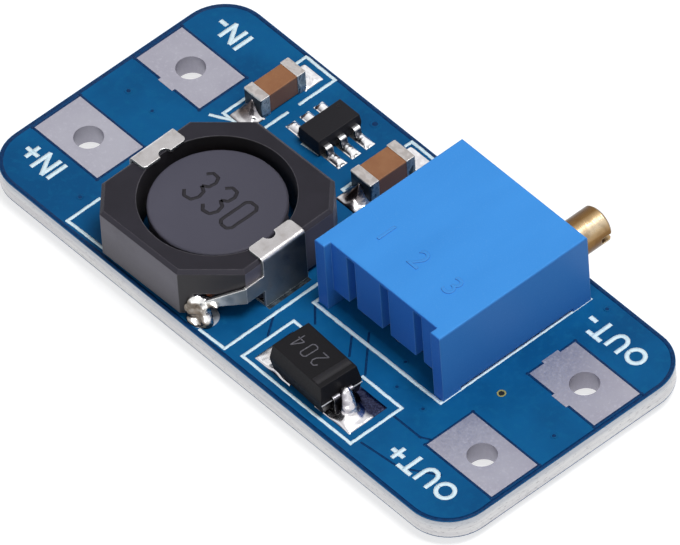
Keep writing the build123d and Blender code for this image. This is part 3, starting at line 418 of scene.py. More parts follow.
def printedInk():
    # screen-printed white ink: slightly bluish where it is thin, with a chalky grain
    made, tree, shader, place = startMaterial("screenPrintedInk", IOR=1.45)
    thin = grains(tree, place, 0.3)
    fine = grains(tree, place, 0.05, 3, 0.7)
    colour = blendColours(tree, remap(tree, thin, 0.5, 0.75, 0, 0.6), "#E2F6FF", "#A9D2E6")
    feed(tree, shader, colour, roughBy(tree, fine, 0.5, 0.7), relief(tree, fine, 0.006, 0.5))
    return made


def burntMark(name, dark, pale):
    # marking burnt or pressed into the surface: uneven depth, so its strokes vary in tone
    made, tree, shader, place = startMaterial(name, IOR=1.5, Specular_IOR_Level=0.25)
    fine = grains(tree, place, 0.1, 4, 0.7)
    colour = blendColours(tree, remap(tree, fine, 0.35, 0.7), dark, pale)
    feed(tree, shader, colour, roughBy(tree, fine, 0.55, 0.75), relief(tree, fine, 0.01, 0.6))
    return made


mask = solderMask()
gapMask = bareGap()
edge = laminate()
tin = levelledTin()
solderTones = {
    0.0: "#29262A", 0.35: "#5A565A", 0.6: "#9A969A", 0.8: "#C9C6C9", 0.92: "#F6F5F7", 1.0: "#DDDBDF"}
solder = reflowedSolder("reflowedSolder", solderTones)
brightSolder = reflowedSolder("brightReflowedSolder", {
    0.0: "#6B6A6F", 0.4: "#A9A7AB", 0.7: "#DEDDE0", 0.85: "#FCFCFD", 1.0: "#F4F4F6"}, "#B3A08A", 0.25)
craggySolder = reflowedSolder("craggyWireSolder", {
    0.0: "#6B6259", 0.3: "#97918B", 0.5: "#CFCDCA", 0.7: "#FAFAF9", 0.85: "#E9E8E6", 1.0: "#FFFFFF"},
    "#7A6652")
peakSolder = reflowedSolder("peakedReflowedSolder", {
    0.0: "#5A575E", 0.25: "#A4A1A8", 0.5: "#E2E0E5", 0.8: "#C9C6C9", 0.92: "#F6F5F7", 1.0: "#DDDBDF"},
    wrinkle=0.45)
# dark patches: partly a film of flux, partly painted dark reflection
brownSolder = reflowedSolder("fluxFilmAndDarkReflectionSolder", solderTones, film=("#2A2322", "#62554E"))
# painted shade: dark tones for the solder under the clip's foot
thinSolder = reflowedSolder("solderSqueezedUnderFoot", {
    0.0: "#1C2227", 0.4: "#39434B", 0.7: "#5B666D", 0.9: "#8A9398", 1.0: "#6F797F"}, "#4B4640")
shieldFerrite = firedFerrite("ferriteShieldFired", "#242229", "#312F38", 0.5, 4.25)
# its last colour is a painted shade for the top towards +X+Y
coreFerrite = firedFerrite("ferriteCoreGroundTop", "#4F4E5B", "#565562", 0.46, 3.5, "#4A4955")
strip = springStrip()
# front and side are painted shade for faces that look along -Y and +X
trimmerBlue = mouldedPlastic(
    "bluePlasticMoulded", "#4498EA", "#3F91E2", "#7DB8F2", front="#2B6AC4", side="#3A7FCB")
creamPlastic = mouldedPlastic("creamPlasticMoulded", "#D9D5C6", "#CFCABA", "#F0EDE2")
epoxyBlack = mouldedPlastic("blackEpoxyMoulded", "#1D1C21", "#18171B", "#434245", 0.08, 0.5)
diodeBlack = mouldedPlastic("charcoalEpoxyMoulded", "#0E0D11", "#0B0A0D", "#2C2A30", 0.09, 0.48)
castResin = mouldedPlastic("castSealingResin", "#2B3F5C", "#233650", "#4A6080", 0.2, 0.3)
rubber = mouldedPlastic("mouldedSealRubber", "#2B1614", "#221110", "#4A302C", 0.05, 0.6)
brass = turnedBrass()
# its fifth colour is a painted shade for the upright faces, its fourth a paler edge, partly worn, partly a
# painted highlight
capacitorBrown = firedCeramic("dielectricCeramicFired", "#966848", "#88593B", "#AB774F", "#E2B695", "#7A5A4C")
resistorGlaze = firedCeramic(
    "glazedResistorChip", "#242326", "#1C1B1E", "#48464B", "#77757A", "#242326", 0.12, 0.3)
alumina = firedCeramic("aluminaFired", "#E4E1D8", "#D8D4C9", "#F2F0EA", "#FAF9F6", "#E4E1D8", 0.06, 0.5)
trackInk = firedCeramic(
    "resistiveTrackPrinted", "#26221F", "#1E1A18", "#3B3632", "#5A544E", "#26221F", 0.05, 0.5)
cap = platedCap()
copper = enamelledCopper()
lead = leadTin("mattTinPlatedLead", {
    0.0: "#2C2C31", 0.35: "#55555A", 0.6: "#8F8F93", 0.8: "#E8E8EA", 1.0: "#F2F2F3"})
# painted shade: a darker copy of the tin-plated lead for the diode's leads
shadedLead = leadTin("tinPlatedLeadPaintedShade", {0.0: "#121115", 0.4: "#232226", 0.7: "#48474C", 1.0: "#96949A"})
ink = printedInk()
print("materials made", len(bpy.data.materials))

# material of each solid by the words in its name; the first that fits is used
dress = {
    "circuit_board": edge, "solder_mask": mask, "terminal": tin, "shield_ring": shieldFerrite,
    "drum_core": coreFerrite, "inductor_winding": copper, "inductor_clip": strip,
    "trimmer_housing": trimmerBlue, "adjusting_screw": brass, "shaft_seal": rubber,
    "wiper_wheel": creamPlastic, "wiper_contact": strip, "ceramic_element": alumina,
    "resistive_track": trackInk, "sealing_compound": castResin, "trimmer_pin": lead,
    "chip_body": epoxyBlack, "diode_body": diodeBlack, "anode_lead": shadedLead, "cathode_lead": shadedLead,
    "clip_joint": thinSolder, "resistor_body": resistorGlaze, "capacitor_body": capacitorBrown,
    "_cap": cap, "chip_lead": lead, "": solder,
}
for name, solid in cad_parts.items():
    ending = name if not name.endswith("_joint") else "joint"  # the capacitors' joints aren't end caps
    solid.data.materials.clear()
    solid.data.materials.append(next(made for words, made in dress.items() if words in ending))
print("solids dressed", len(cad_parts))


# helpers for pieces

def meshPiece(name, mesh, made, body="module"):
    piece = bpy.data.objects.new(name, mesh)
    bpy.context.scene.collection.objects.link(piece)
    if made:
        mesh.materials.clear()
        mesh.materials.append(made)
    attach(piece, body)
    return piece


def plainMesh(name, data, tree=None, values=None):
    # the finished mesh of a helper object, grown by a node tree if one is given
    holder = bpy.data.objects.new(name + "Source", data)
    bpy.context.scene.collection.objects.link(holder)
    if tree:
        modifier = holder.modifiers.new("growth", "NODES")
        modifier.node_group = tree
        for item in tree.interface.items_tree:
            if item.item_type == "SOCKET" and item.in_out == "INPUT" and item.name in values:
                modifier[item.identifier] = values[item.name]
    mesh = bpy.data.meshes.new_from_object(holder.evaluated_get(bpy.context.evaluated_depsgraph_get()))
    holder.modifiers.clear()
    bpy.data.objects.remove(holder)
    return mesh


def grow(name, mesh, tree, values):
    result = plainMesh(name, mesh, tree, values)
    result.name = name
    return meshPiece(name, result, None)


def pathMesh(name, paths):
    # polylines as loose edges, in millimetres, each a list of (x, y, z)
    points, edges = [], []
    for path in paths:
        start = len(points)
        points += [Vector(p) * mm for p in path]
        edges += [(start + i, start + i + 1) for i in range(len(path) - 1)]
    mesh = bpy.data.meshes.new(name)
    mesh.from_pydata(points, edges, [])
    return mesh


def startTree(name, inputs):
    tree = bpy.data.node_groups.new(name, "GeometryNodeTree")
    tree.interface.new_socket("Geometry", in_out="INPUT", socket_type="NodeSocketGeometry")
    for label, value in inputs.items():
        kind = "Material" if value is None else "Float"
        socket = tree.interface.new_socket(label, in_out="INPUT", socket_type="NodeSocket" + kind)
        if value is not None:
            socket.default_value = value
    tree.interface.new_socket("Geometry", in_out="OUTPUT", socket_type="NodeSocketGeometry")
    return tree, addNode(tree, "NodeGroupInput").outputs


def endTree(tree, geometry, made=None):
    whole = addNode(tree, "GeometryNodeRealizeInstances", {0: geometry}).outputs[0]
    if made is not None:
        whole = addNode(tree, "GeometryNodeSetMaterial", {0: whole, "Material": made}).outputs[0]
    addNode(tree, "NodeGroupOutput", {0: whole})
    return tree


def roundBar(tree, curve, sides, radius, capped=True):
    # a round section of this many sides carried along the curve
    sized = {"Resolution": sides, "Radius": radius}
    section = addNode(tree, "GeometryNodeCurvePrimitiveCircle", sized, mode="RADIUS").outputs[0]
    sweep = {"Curve": curve, "Profile Curve": section, "Fill Caps": capped}
    return addNode(tree, "GeometryNodeCurveToMesh", sweep).outputs[0]


def ribbonTree():
    # flat strokes along every edge path, with a slightly ragged outline
    tree, given = startTree("printedStrokes", {
        "Stroke Width": 0.0002, "Stroke Height": 0.00001, "Raggedness": 0.00001, "Step": 0.0002, "Ink": None})
    curve = addNode(tree, "GeometryNodeMeshToCurve", {0: given["Geometry"]}).outputs[0]
    spaced = {"Curve": curve, "Length": given["Step"]}
    curve = addNode(tree, "GeometryNodeResampleCurve", spaced, mode="LENGTH").outputs[0]
    curve = addNode(tree, "GeometryNodeSetCurveNormal", {"Curve": curve}, mode="Z_UP").outputs[0]
    sized = {"Width": given["Stroke Width"], "Height": given["Stroke Height"]}
    section = addNode(tree, "GeometryNodeCurvePrimitiveQuadrilateral", sized).outputs[0]
    sweep = {"Curve": curve, "Profile Curve": section, "Fill Caps": True}
    stroke = addNode(tree, "GeometryNodeCurveToMesh", sweep).outputs[0]
    wobble = addNode(tree, "ShaderNodeTexNoise", {"Scale": 2600.0, "Detail": 2.0}).outputs[1]
    offCentre = {0: wobble, 1: (0.5, 0.5, 0.5)}
    centred = addNode(tree, "ShaderNodeVectorMath", offCentre, operation="SUBTRACT").outputs[0]
    flat = addNode(tree, "ShaderNodeVectorMath", {0: centred, 1: (2, 2, 0)}, operation="MULTIPLY").outputs[0]
    ragged = {0: flat, "Scale": given["Raggedness"]}
    shift = addNode(tree, "ShaderNodeVectorMath", ragged, operation="SCALE").outputs[0]
    stroke = addNode(tree, "GeometryNodeSetPosition", {"Geometry": stroke, "Offset": shift}).outputs[0]
    return endTree(tree, stroke, given["Ink"])


strokes = ribbonTree()


def drawStrokes(name, paths, made, width, height, ragged, step):
    grow(name, pathMesh(name + "Paths", paths), strokes, {
        "Stroke Width": width * mm, "Stroke Height": height * mm, "Raggedness": ragged * mm,
        "Step": step * mm, "Ink": made})


def straightRuns(lines, z, overlap):
    # every straight run as its own path, a little longer than drawn so that corners close
    layers, apart = 5, 0.0012  # crossing runs never share a plane
    runs = []
    for line in lines:
        for (ax, ay), (bx, by) in zip(line, line[1:]):
            length = ((bx - ax) ** 2 + (by - ay) ** 2) ** 0.5
            ux, uy = (bx - ax) / length * overlap, (by - ay) / length * overlap
            level = z + len(runs) % layers * apart
            runs.append([(ax - ux, ay - uy, level), (bx + ux, by + uy, level)])
    return runs


def bentRuns(lines, z):
    return [[(x, y, z) for x, y in line] for line in lines]


# printed outlines of the parts
boardTop = 1.2
inkLevel = boardTop + 0.006
outlines = {
    "printed_outlines": {"width": 0.18, "lines": [
        [(-11.55, -5.9), (-11.53, -8.06), (-8.86, -7.98)],
        [(-1.17, -8.13), (0.66, -8.08), (0.63, -1.73)],
        [(-11.99, 2.03), (-10.98, 2.57)],
        [(-11.6, 4.09), (-11.6, 2.6), (-9.35, 2.58), (-9.35, 4.96)],
        [(-9.35, 5.85), (-9.35, 8.25), (-11.6, 8.25), (-11.6, 7.64)],
        [(-3.38, 4.05), (-3.38, 3.48), (-1.75, 3.48)],
        [(-3.38, 7.82), (-3.38, 8.22), (-1.45, 8.22), (-1.45, 6.9)],
        [(-7.16, 4.12), (-6.1, 4.21)],
        [(2.19, -4.3), (1.68, -4.3), (1.68, -7.76), (9.95, -7.76), (9.95, -4.3), (6.99, -4.3)]]},
    "trimmer_outline": {"width": 0.21, "lines": [
        [(1.45, -2.25), (1.45, -2.73), (11.06, -2.64), (11.03, 7.54)]]},
}
for name, look in outlines.items():
    drawStrokes(name, straightRuns(look["lines"], inkLevel, 0.08), ink, look["width"], 0.016, 0.035, 0.12)

# gaps between copper areas, and the clear band round each terminal and along the board's edge
gaps = {
    "width": 0.12, "height": 0.01, "ragged": 0.012, "step": 0.15, "level": boardTop + 0.002, "overlap": 0.1,
    "lines": [
        [(1.71, -2.88), (2.54, -3.61)], [(4.55, -2.9), (5.42, -3.82)], [(4.99, -2.12), (6.92, -4.07)],
        [(0.79, -4.92), (1.49, -5.87)], [(10.16, -4.94), (12.06, -4.93), (12.63, -4.63)],
        [(10.32, -7.31), (12.92, -7.05), (14.68, -5.91)],
    ],
}
land = {"x": 15.15, "y": 3.475, "long": 4.9, "wide": 3.1, "clear": 0.07, "bridge": 0.55}
for sideX, sideY in ((-1, -1), (-1, 1), (1, -1), (1, 1)):
    x, y = sideX * land["x"], sideY * land["y"]
    left, right = x - land["long"] / 2 - land["clear"], x + land["long"] / 2 + land["clear"]
    low, high = y - land["wide"] / 2 - land["clear"], y + land["wide"] / 2 + land["clear"]
    band = [(left, low), (left, high), (right, high), (right, low)]
    # copper leaves the back lands by their front edge, and the output one by its left edge too
    opened = [(x - land["bridge"], low), *band, (x + land["bridge"], low)]
    if sideY < 0:
        gaps["lines"].append(band + band[:1])
    elif sideX < 0:
        gaps["lines"].append(opened)
    else:
        gaps["lines"].append(opened[:2] + [(left, y - land["bridge"])])
        gaps["lines"].append([(left, y + land["bridge"])] + opened[2:])
drawStrokes("etched_gaps", straightRuns(gaps["lines"], gaps["level"], gaps["overlap"]), gapMask,
            gaps["width"], gaps["height"], gaps["ragged"], gaps["step"])

rim = {"inset": 0.14, "radius": 2.5, "halfLong": 18, "halfWide": 8.5, "steps": 12,
       "width": 0.2, "height": 0.008, "ragged": 0.02, "step": 0.25, "level": boardTop + 0.001}
corner = rim["radius"] - rim["inset"]
farX, farY = rim["halfLong"] - rim["inset"] - corner, rim["halfWide"] - rim["inset"] - corner
rimPath = []
for cx, cy, start in ((farX, farY, 0), (-farX, farY, 90), (-farX, -farY, 180), (farX, -farY, 270)):
    for step in range(rim["steps"] + 1):
        turn = radians(start + step * 90 / rim["steps"])
        rimPath.append((cx + corner * cos(turn), cy + corner * sin(turn)))
rimPath.append(rimPath[0])
drawStrokes("pulled_back_rim", bentRuns([rimPath], rim["level"]), gapMask,
            rim["width"], rim["height"], rim["ragged"], rim["step"])
print("printed lines and gaps made")


def viaTree():
    # a tinned or bare ring and a dark bore at every point, sized by the point's own radius
    tree, given = startTree("platedHoles", {"Ring Share": 0.25, "Ring": None, "Bore": None})
    sizes = addNode(tree, "GeometryNodeInputNamedAttribute", {"Name": "radius"}, data_type="FLOAT")
    radius = sizes.outputs[0]
    sized = {"Resolution": 28, "Radius": 1.0}
    circle = addNode(tree, "GeometryNodeCurvePrimitiveCircle", sized, mode="RADIUS").outputs[0]
    ring = roundBar(tree, circle, 8, given["Ring Share"], False)
    ring = addNode(tree, "GeometryNodeTransform", {"Geometry": ring, "Scale": (1, 1, 0.12)}).outputs[0]
    ring = addNode(tree, "GeometryNodeSetMaterial", {0: ring, "Material": given["Ring"]}).outputs[0]
    disc = {"Vertices": 28, "Radius": 1.0}
    bore = addNode(tree, "GeometryNodeMeshCircle", disc, fill_type="NGON").outputs[0]
    bore = addNode(tree, "GeometryNodeSetMaterial", {0: bore, "Material": given["Bore"]}).outputs[0]
    both = addNode(tree, "GeometryNodeJoinGeometry", {0: ring})
    tree.links.new(bore, both.inputs[0])
    placed = {"Points": given["Geometry"], "Instance": both.outputs[0], "Scale": radius}
    return endTree(tree, addNode(tree, "GeometryNodeInstanceOnPoints", placed).outputs[0])


holes = viaTree()


def drawHoles(name, spots, level, ringShare, ring, bore):
    # spots as x, y and radius
    mesh = bpy.data.meshes.new(name + "Spots")
    mesh.from_pydata([Vector((x, y, level)) * mm for x, y, radius in spots], [], [])
    sizes = mesh.attributes.new("radius", "FLOAT", "POINT")
    for i, (x, y, radius) in enumerate(spots):
        sizes.data[i].value = radius * mm
    grow(name, mesh, holes, {"Ring Share": ringShare, "Ring": ring, "Bore": bore})


# small plated holes: the one between the output terminals is open, its bore a dark disc of painted shade, the
# rest are filled with mask
vias = {
    "level": boardTop + 0.012, "open": [(12.71, 0.01, 0.2)], "openRing": 0.22, "filledRing": 0.3,
    "filled": [(-16.17, 0.12, 0.16), (16.71, 0.0, 0.15), (-5.63, 7.69, 0.21), (10.74, -3.56, 0.13),
               (8.7, -3.51, 0.13), (-12.33, -6.51, 0.15), (12.14, 7.7, 0.14), (-14.27, 0.07, 0.13),
               (7.72, -2.06, 0.13)],
}
paintedHoleShade = burntMark("holeBorePaintedShade", "#0B0F14", "#131A22")
ringBare = burntMark("bareAnnularRing", "#8E8A55", "#A9A36B")
drawHoles("open_hole", vias["open"], vias["level"], vias["openRing"], ringBare, paintedHoleShade)
drawHoles("filled_holes", vias["filled"], vias["level"], vias["filledRing"], mask, gapMask)

# printed terminal words, read from the far side; each letter as strokes in a box of 1 by 1
letterShapes = {
    "I": [[(0.5, 0), (0.5, 1)]],
    "N": [[(0, 0), (0, 1)], [(0, 1), (1, 0)], [(1, 0), (1, 1)]],
    "T": [[(0, 1), (1, 1)], [(0.5, 1), (0.5, 0)]],
    "U": [[(0, 1), (0, 0.36), (0.08, 0.16), (0.28, 0.02), (0.5, 0), (0.72, 0.02), (0.92, 0.16),
           (1, 0.36), (1, 1)]],
    "O": [[(0.5 + 0.5 * cos(radians(a)), 0.5 + 0.5 * sin(radians(a))) for a in range(0, 375, 15)]],
    "+": [[(0, 0.5), (1, 0.5)], [(0.5, 0), (0.5, 1)]],
    "-": [[(0, 0.5), (1, 0.5)]],
}
labelLook = {"width": 0.25, "height": 0.016, "ragged": 0.012, "step": 0.05}
labels = {  # letter, middle in x and y, width and height
    "input_plus": [("I", -14.48, -6.23, 0.8, 1.2), ("N", -15.28, -6.27, 0.78, 1.25),
                   ("+", -16.38, -6.22, 0.78, 0.85)],
    "input_minus": [("I", -14.57, 6.55, 0.8, 1.15), ("N", -15.42, 6.6, 0.78, 1.12),
                    ("-", -16.33, 6.77, 0.4, 0.4)],
    "output_plus": [("O", 15.68, -6.44, 0.98, 0.96), ("U", 14.37, -6.47, 0.84, 1.15),
                    ("T", 13.15, -6.42, 0.9, 1.12), ("+", 12.11, -6.45, 0.76, 0.78)],
    "output_minus": [("O", 15.58, 6.59, 0.96, 0.94), ("U", 14.28, 6.53, 0.78, 1.1),
                     ("T", 13.06, 6.54, 0.9, 1.12), ("-", 12.2, 6.73, 0.38, 0.4)],
}
for name, letters in labels.items():
    lines = []
    for letter, x, y, wide, tall in letters:
        for line in letterShapes[letter]:
            lines.append([(x - (u - 0.5) * wide, y - (v - 0.5) * tall) for u, v in line])
    straight = straightRuns([line for line in lines if len(line) == 2], inkLevel, 0.06)
    curved = bentRuns([line for line in lines if len(line) > 2], inkLevel - 0.0005)
    drawStrokes(name + "_label", straight + curved, ink, **labelLook)

# numbers as single strokes, each digit in a box of 1 by 1
digitShapes = {
    "0": [[(0.3, 0.0), (0.72, 0.0), (0.92, 0.1), (0.94, 0.9), (0.74, 1.0), (0.3, 1.0), (0.1, 0.9),
           (0.08, 0.1), (0.3, 0.0)]],
    "2": [[(0.05, 0.8), (0.25, 0.98), (0.7, 0.98), (0.92, 0.78), (0.85, 0.55), (0.05, 0.02), (0.98, 0.02)]],
    "3": [[(0.05, 0.86), (0.3, 1.0), (0.72, 0.98), (0.92, 0.82), (0.86, 0.62), (0.5, 0.52)],
          [(0.5, 0.52), (0.9, 0.42), (1.0, 0.22), (0.82, 0.03), (0.36, 0.0), (0.02, 0.14)]],
    "4": [[(0.75, 0.0), (0.75, 1.0), (0.05, 0.32), (1.0, 0.32)]],
}


def turned(x, y, look):
    # from a part's own turned frame to the board's
    turn = radians(look["turn"])
    middleX, middleY = look["middle"]
    return middleX + x * cos(turn) - y * sin(turn), middleY + x * sin(turn) + y * cos(turn)


def numberPaths(look):
    paths = []
    read = look["read"]  # -1 for a number that is read from the far side
    for place, digit in enumerate(look["number"]):
        middle = (place - 1) * look["pitch"]
        for line in digitShapes[digit]:
            flat = [(middle + (u - 0.5) * look["wide"], (v - 0.5) * look["tall"]) for u, v in line]
            paths.append([turned(look["shift"] + read * x, read * y, look) for x, y in flat])
    return bentRuns(paths, look["top"] + 0.001)


# value number pressed into the core's top
coreMark = {"number": "330", "middle": (-5.07, -3.17), "turn": 1.0, "top": boardTop + 2.9, "read": 1,
            "shift": 0, "tall": 2.1, "wide": 0.95, "pitch": 1.42}
pressed = burntMark("pressedMarkInFerrite", "#18161B", "#28262D")
drawStrokes("core_number", numberPaths(coreMark), pressed, width=0.2, height=0.008, ragged=0.03, step=0.06)

# raised terminal numbers on the trimmer's top; their text is built large, because tiny text fills badly
raised = {"tall": 1.2, "depth": 0.09, "columns": (3.805, 6.345, 8.885), "row": 0.35, "level": 5.9,
          "capitalShare": 0.69}
for number, x in enumerate(raised["columns"], 1):
    name = f"trimmer_number_{number}"
    shape = bpy.data.curves.new(name, "FONT")
    shape.body = str(number)
    shape.size = 1.0
    shape.align_x = "CENTER"
    shape.align_y = "CENTER"
    shape.extrude = raised["depth"] / raised["tall"] * 0.35
    shape.resolution_u = 6
    mesh = plainMesh(name, shape)
    mesh.transform(Matrix.Translation(Vector((x, raised["row"], raised["level"])) * mm)
                   @ Matrix.Scale(raised["tall"] / raised["capitalShare"] * mm, 4))
    meshPiece(name, mesh, trimmerBlue)
print("markings made")


def coilTree():
    # layers of wire wound on the core: one spiral for each layer
    tree, given = startTree("woundLayers", {
        "Wire Radius": 0.00019, "Inner Radius": 0.0017, "Coil Height": 0.0012, "Turns": 4.0, "Wire": None})
    joined = addNode(tree, "GeometryNodeJoinGeometry")
    for layer in range(4):
        outward = maths(tree, "MULTIPLY", given["Wire Radius"], 1.0 + 2.0 * layer)
        reach = maths(tree, "ADD", given["Inner Radius"], outward)
        spiral = addNode(tree, "GeometryNodeCurveSpiral", {
            "Resolution": 56, "Rotations": given["Turns"], "Start Radius": reach, "End Radius": reach,
            "Height": given["Coil Height"], "Reverse": layer % 2 == 1}).outputs[0]
        tree.links.new(spiral, joined.inputs[0])
    wire = roundBar(tree, joined.outputs[0], 12, given["Wire Radius"])
    return endTree(tree, addNode(tree, "GeometryNodeSetShadeSmooth", {0: wire}).outputs[0], given["Wire"])


wireRadius = 0.19
coil = {"middle": (-5.1, -3.3), "bottom": 1.9, "height": 1.2, "inner": 1.7, "turns": 3.9}
winding = grow("wound_coil", bpy.data.meshes.new("coilSeed"), coilTree(), {
    "Wire Radius": wireRadius * mm, "Inner Radius": coil["inner"] * mm, "Coil Height": coil["height"] * mm,
    "Turns": coil["turns"], "Wire": copper})
winding.data.transform(Matrix.Translation(Vector((*coil["middle"], coil["bottom"] + wireRadius)) * mm))
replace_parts(winding, "inductor_winding")


def wireTree():
    # round wire along a smooth path through the given points
    tree, given = startTree("roundWire", {"Wire Radius": 0.00019, "Wire": None})
    curve = addNode(tree, "GeometryNodeMeshToCurve", {0: given["Geometry"]}).outputs[0]
    curve = addNode(tree, "GeometryNodeCurveSplineType", {0: curve}, spline_type="CATMULL_ROM").outputs[0]
    curve = addNode(tree, "GeometryNodeResampleCurve", {"Curve": curve, "Count": 60}, mode="COUNT").outputs[0]
    wire = roundBar(tree, curve, 14, given["Wire Radius"])
    return endTree(tree, addNode(tree, "GeometryNodeSetShadeSmooth", {0: wire}).outputs[0], given["Wire"])


# wire ends that leave the winding through the ring's windows
wireEnds = {"output": [(-2.5, -4.6, 2.2), (-1.9, -6.2, 2.3), (-2.05, -7.25, 2.2), (-2.35, -7.75, 2.0)],
            "input": [(-7.7, -2.0, 2.2), (-8.3, -0.4, 2.3), (-8.15, 0.65, 2.2), (-7.85, 1.15, 2.0)]}
roundWire = wireTree()
for side, points in wireEnds.items():
    grow(f"wire_end_{side}", pathMesh(side + "Wire", [points]), roundWire, {
        "Wire Radius": wireRadius * mm, "Wire": copper})


# solder

def solderLump(side, balls, seed, wrinkle):
    # a frozen drop: blended balls, then small hollows pushed into its skin; sizes in millimetres
    name = f"wire_solder_{side}"
    drop = bpy.data.metaballs.new(name)
    drop.resolution = 0.07
    drop.threshold = 0.6
    for x, y, z, radius, sx, sy, sz in balls:
        ball = drop.elements.new(type="ELLIPSOID")
        ball.co = (x, y, z)
        ball.radius = radius
        ball.size_x, ball.size_y, ball.size_z = sx, sy, sz
    mesh = plainMesh(name, drop)
    noise.seed_set(seed)
    for vertex, normal in zip(mesh.vertices, [v.normal.copy() for v in mesh.vertices]):
        push = noise.noise(vertex.co * 2.3) * wrinkle + noise.noise(vertex.co * 6.0) * wrinkle * 0.35
        vertex.co += normal * push
        vertex.co.z = max(vertex.co.z, boardTop - 0.04)
    mesh.transform(Matrix.Scale(mm, 4))
    mesh.shade_smooth()
    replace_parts(meshPiece(name, mesh, craggySolder), f"wire_joint_{side}_side")


# each ball as x, y, z, radius and its three half lengths
solderLump("output", [
    (-1.8, -7.65, 1.25, 1.25, 0.95, 0.8, 0.35), (-2.1, -7.8, 1.9, 0.9, 0.8, 0.75, 1.15),
    (-1.95, -7.55, 2.5, 0.85, 0.8, 0.9, 0.7), (-1.25, -7.6, 1.5, 0.85, 0.9, 0.7, 0.75),
    (-1.6, -7.5, 1.95, 0.9, 0.9, 0.8, 0.9), (-1.3, -7.15, 2.4, 0.7, 1.3, 0.6, 0.5)], 11, 0.085)
solderLump("input", [
    (-8.25, 1.1, 1.25, 1.45, 0.9, 0.9, 0.35), (-8.15, 1.05, 1.8, 1.1, 0.85, 0.85, 0.95),
    (-8.5, 0.85, 2.2, 0.95, 0.8, 0.8, 0.7)], 23, 0.07)


def solderPool(name, land, film, peaks, dark, seed, made, base=-0.04, corner=0.16):
    # a frozen pool over a land: rounded rims, peaks drawn up beside the lead (a power of 0 is a round-headed
    # one), ripples, and dull patches as an attribute, partly a film of flux, partly painted dark reflection
    grid, rimWide, leastFilm, merge = 0.05, 0.2, 0.012, 6
    x0, y0, x1, y1 = land
    across, along = max(10, round((x1 - x0) / grid)), max(10, round((y1 - y0) / grid))
    noise.seed_set(seed)
    points, faces, fluxAndDarkReflection = [], [], []
    for j in range(along + 1):
        for i in range(across + 1):
            x, y = x0 + (x1 - x0) * i / across, y0 + (y1 - y0) * j / along
            qx = abs(x - (x0 + x1) / 2) - (x1 - x0) / 2 + corner
            qy = abs(y - (y0 + y1) / 2) - (y1 - y0) / 2 + corner
            inside = corner - Vector((max(qx, 0), max(qy, 0))).length - min(max(qx, qy), 0)
            rise = min(1, max(0, inside) / rimWide)
            rise = (1 - (1 - rise) ** 2) ** 0.5
            piled = film ** merge
            for px, py, tall, reach, power in peaks:
                away = Vector((x - px, y - py)).length / reach
                profile = max(0, 1 - away) ** power if power else max(0, 1 - away ** 4) ** 0.5
                piled += (tall * profile) ** merge
            height = piled ** (1 / merge)
            spot = Vector((x, y, seed * 1.7))
            height *= 1 + 0.12 * noise.noise(spot * 1.9)
            height += 0.008 * noise.noise(spot * 4.6)
            depths = [(1 - Vector((x - px, y - py)).length / reach) * crisp for px, py, reach, crisp in dark]
            fluxAndDarkReflection.append(min(1, max([0] + depths)))
            height = max(height, leastFilm) * rise if inside > 0 else base
            points.append(Vector((x, y, boardTop + height)) * mm)
    row = across + 1
    for j in range(along):
        for a in range(j * row, j * row + across):
            faces.append((a, a + 1, a + row + 1, a + row))
    top = len(points)
    border = list(range(row)) + [(j + 1) * row - 1 for j in range(1, along + 1)]
    border += [along * row + i for i in range(across - 1, -1, -1)]
    border += [j * row for j in range(along - 1, 0, -1)]
    points += [Vector((points[k].x, points[k].y, (boardTop + base) * mm)) for k in border]
    for k in range(len(border)):
        after = (k + 1) % len(border)
        faces.append((border[after], border[k], top + k, top + after))
    faces.append([top + k for k in range(len(border))][::-1])
    mesh = bpy.data.meshes.new(name)
    mesh.from_pydata(points, [], faces)
    mesh.shade_smooth()
    tint = mesh.attributes.new("dull", "FLOAT", "POINT")
    for i, amount in enumerate(fluxAndDarkReflection):
        tint.data[i].value = amount
    return meshPiece(name, mesh, made)


def flatBox(node):
    low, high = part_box(node)
    return [v / mm for v in (low[0], low[1], high[0], high[1])]


# film thickness, then peaks as x, y, height, reach and power, then dull patches as x, y, reach and crispness
# (partly a film of flux, partly painted dark reflection), and the seed
pools = {
    "diode_cathode": (0.06, [(7.98, -6.29, 1.36, 0.42, 0), (8.16, -6.33, 1.12, 0.44, 0),
                             (8.32, -6.38, 0.8, 0.48, 0), (8.4, -6.45, 0.7, 1.0, 1.6),
                             (8.6, -6.9, 0.28, 1.1, 1.3)],
                      [(8.0, -5.2, 0.75, 3), (8.5, -5.2, 0.85, 3), (9.0, -5.2, 0.85, 3),
                       (9.35, -5.3, 0.6, 3)], 3),
    "diode_anode": (0.06, [(3.2, -6.1, 0.75, 0.95, 1.8), (3.7, -7.2, 0.25, 0.8, 1.2)],
                    [(2.4, -5.4, 0.8, 2)], 5),
    "input_capacitor_front": (0.1, [(-10.6, 3.75, 1.0, 0.9, 1.4), (-10.1, 3.25, 0.3, 0.6, 1.2)],
                              [(-10.95, 3.35, 0.8, 1.1)], 7),
    "input_capacitor_back": (0.07, [(-10.5, 6.85, 0.8, 0.8, 2.0), (-10.1, 7.5, 0.15, 0.5, 1.2)], [], 9),
    "output_capacitor_front": (0.1, [(-2.4, 3.8, 1.0, 1.0, 1.3), (-2.2, 3.2, 0.35, 0.6, 1.2)],
                               [(-2.55, 3.5, 0.9, 1.2)], 13),
    "output_capacitor_back": (0.07, [(-2.3, 7.0, 0.8, 0.8, 2.0)], [], 15),
}
for end, (film, peaks, dark, seed) in pools.items():
    made = brownSolder if "capacitor" in end else peakSolder
    node = end + "_joint"
    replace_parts(solderPool(end + "_solder", flatBox(node), film, peaks, dark, seed, made), node)

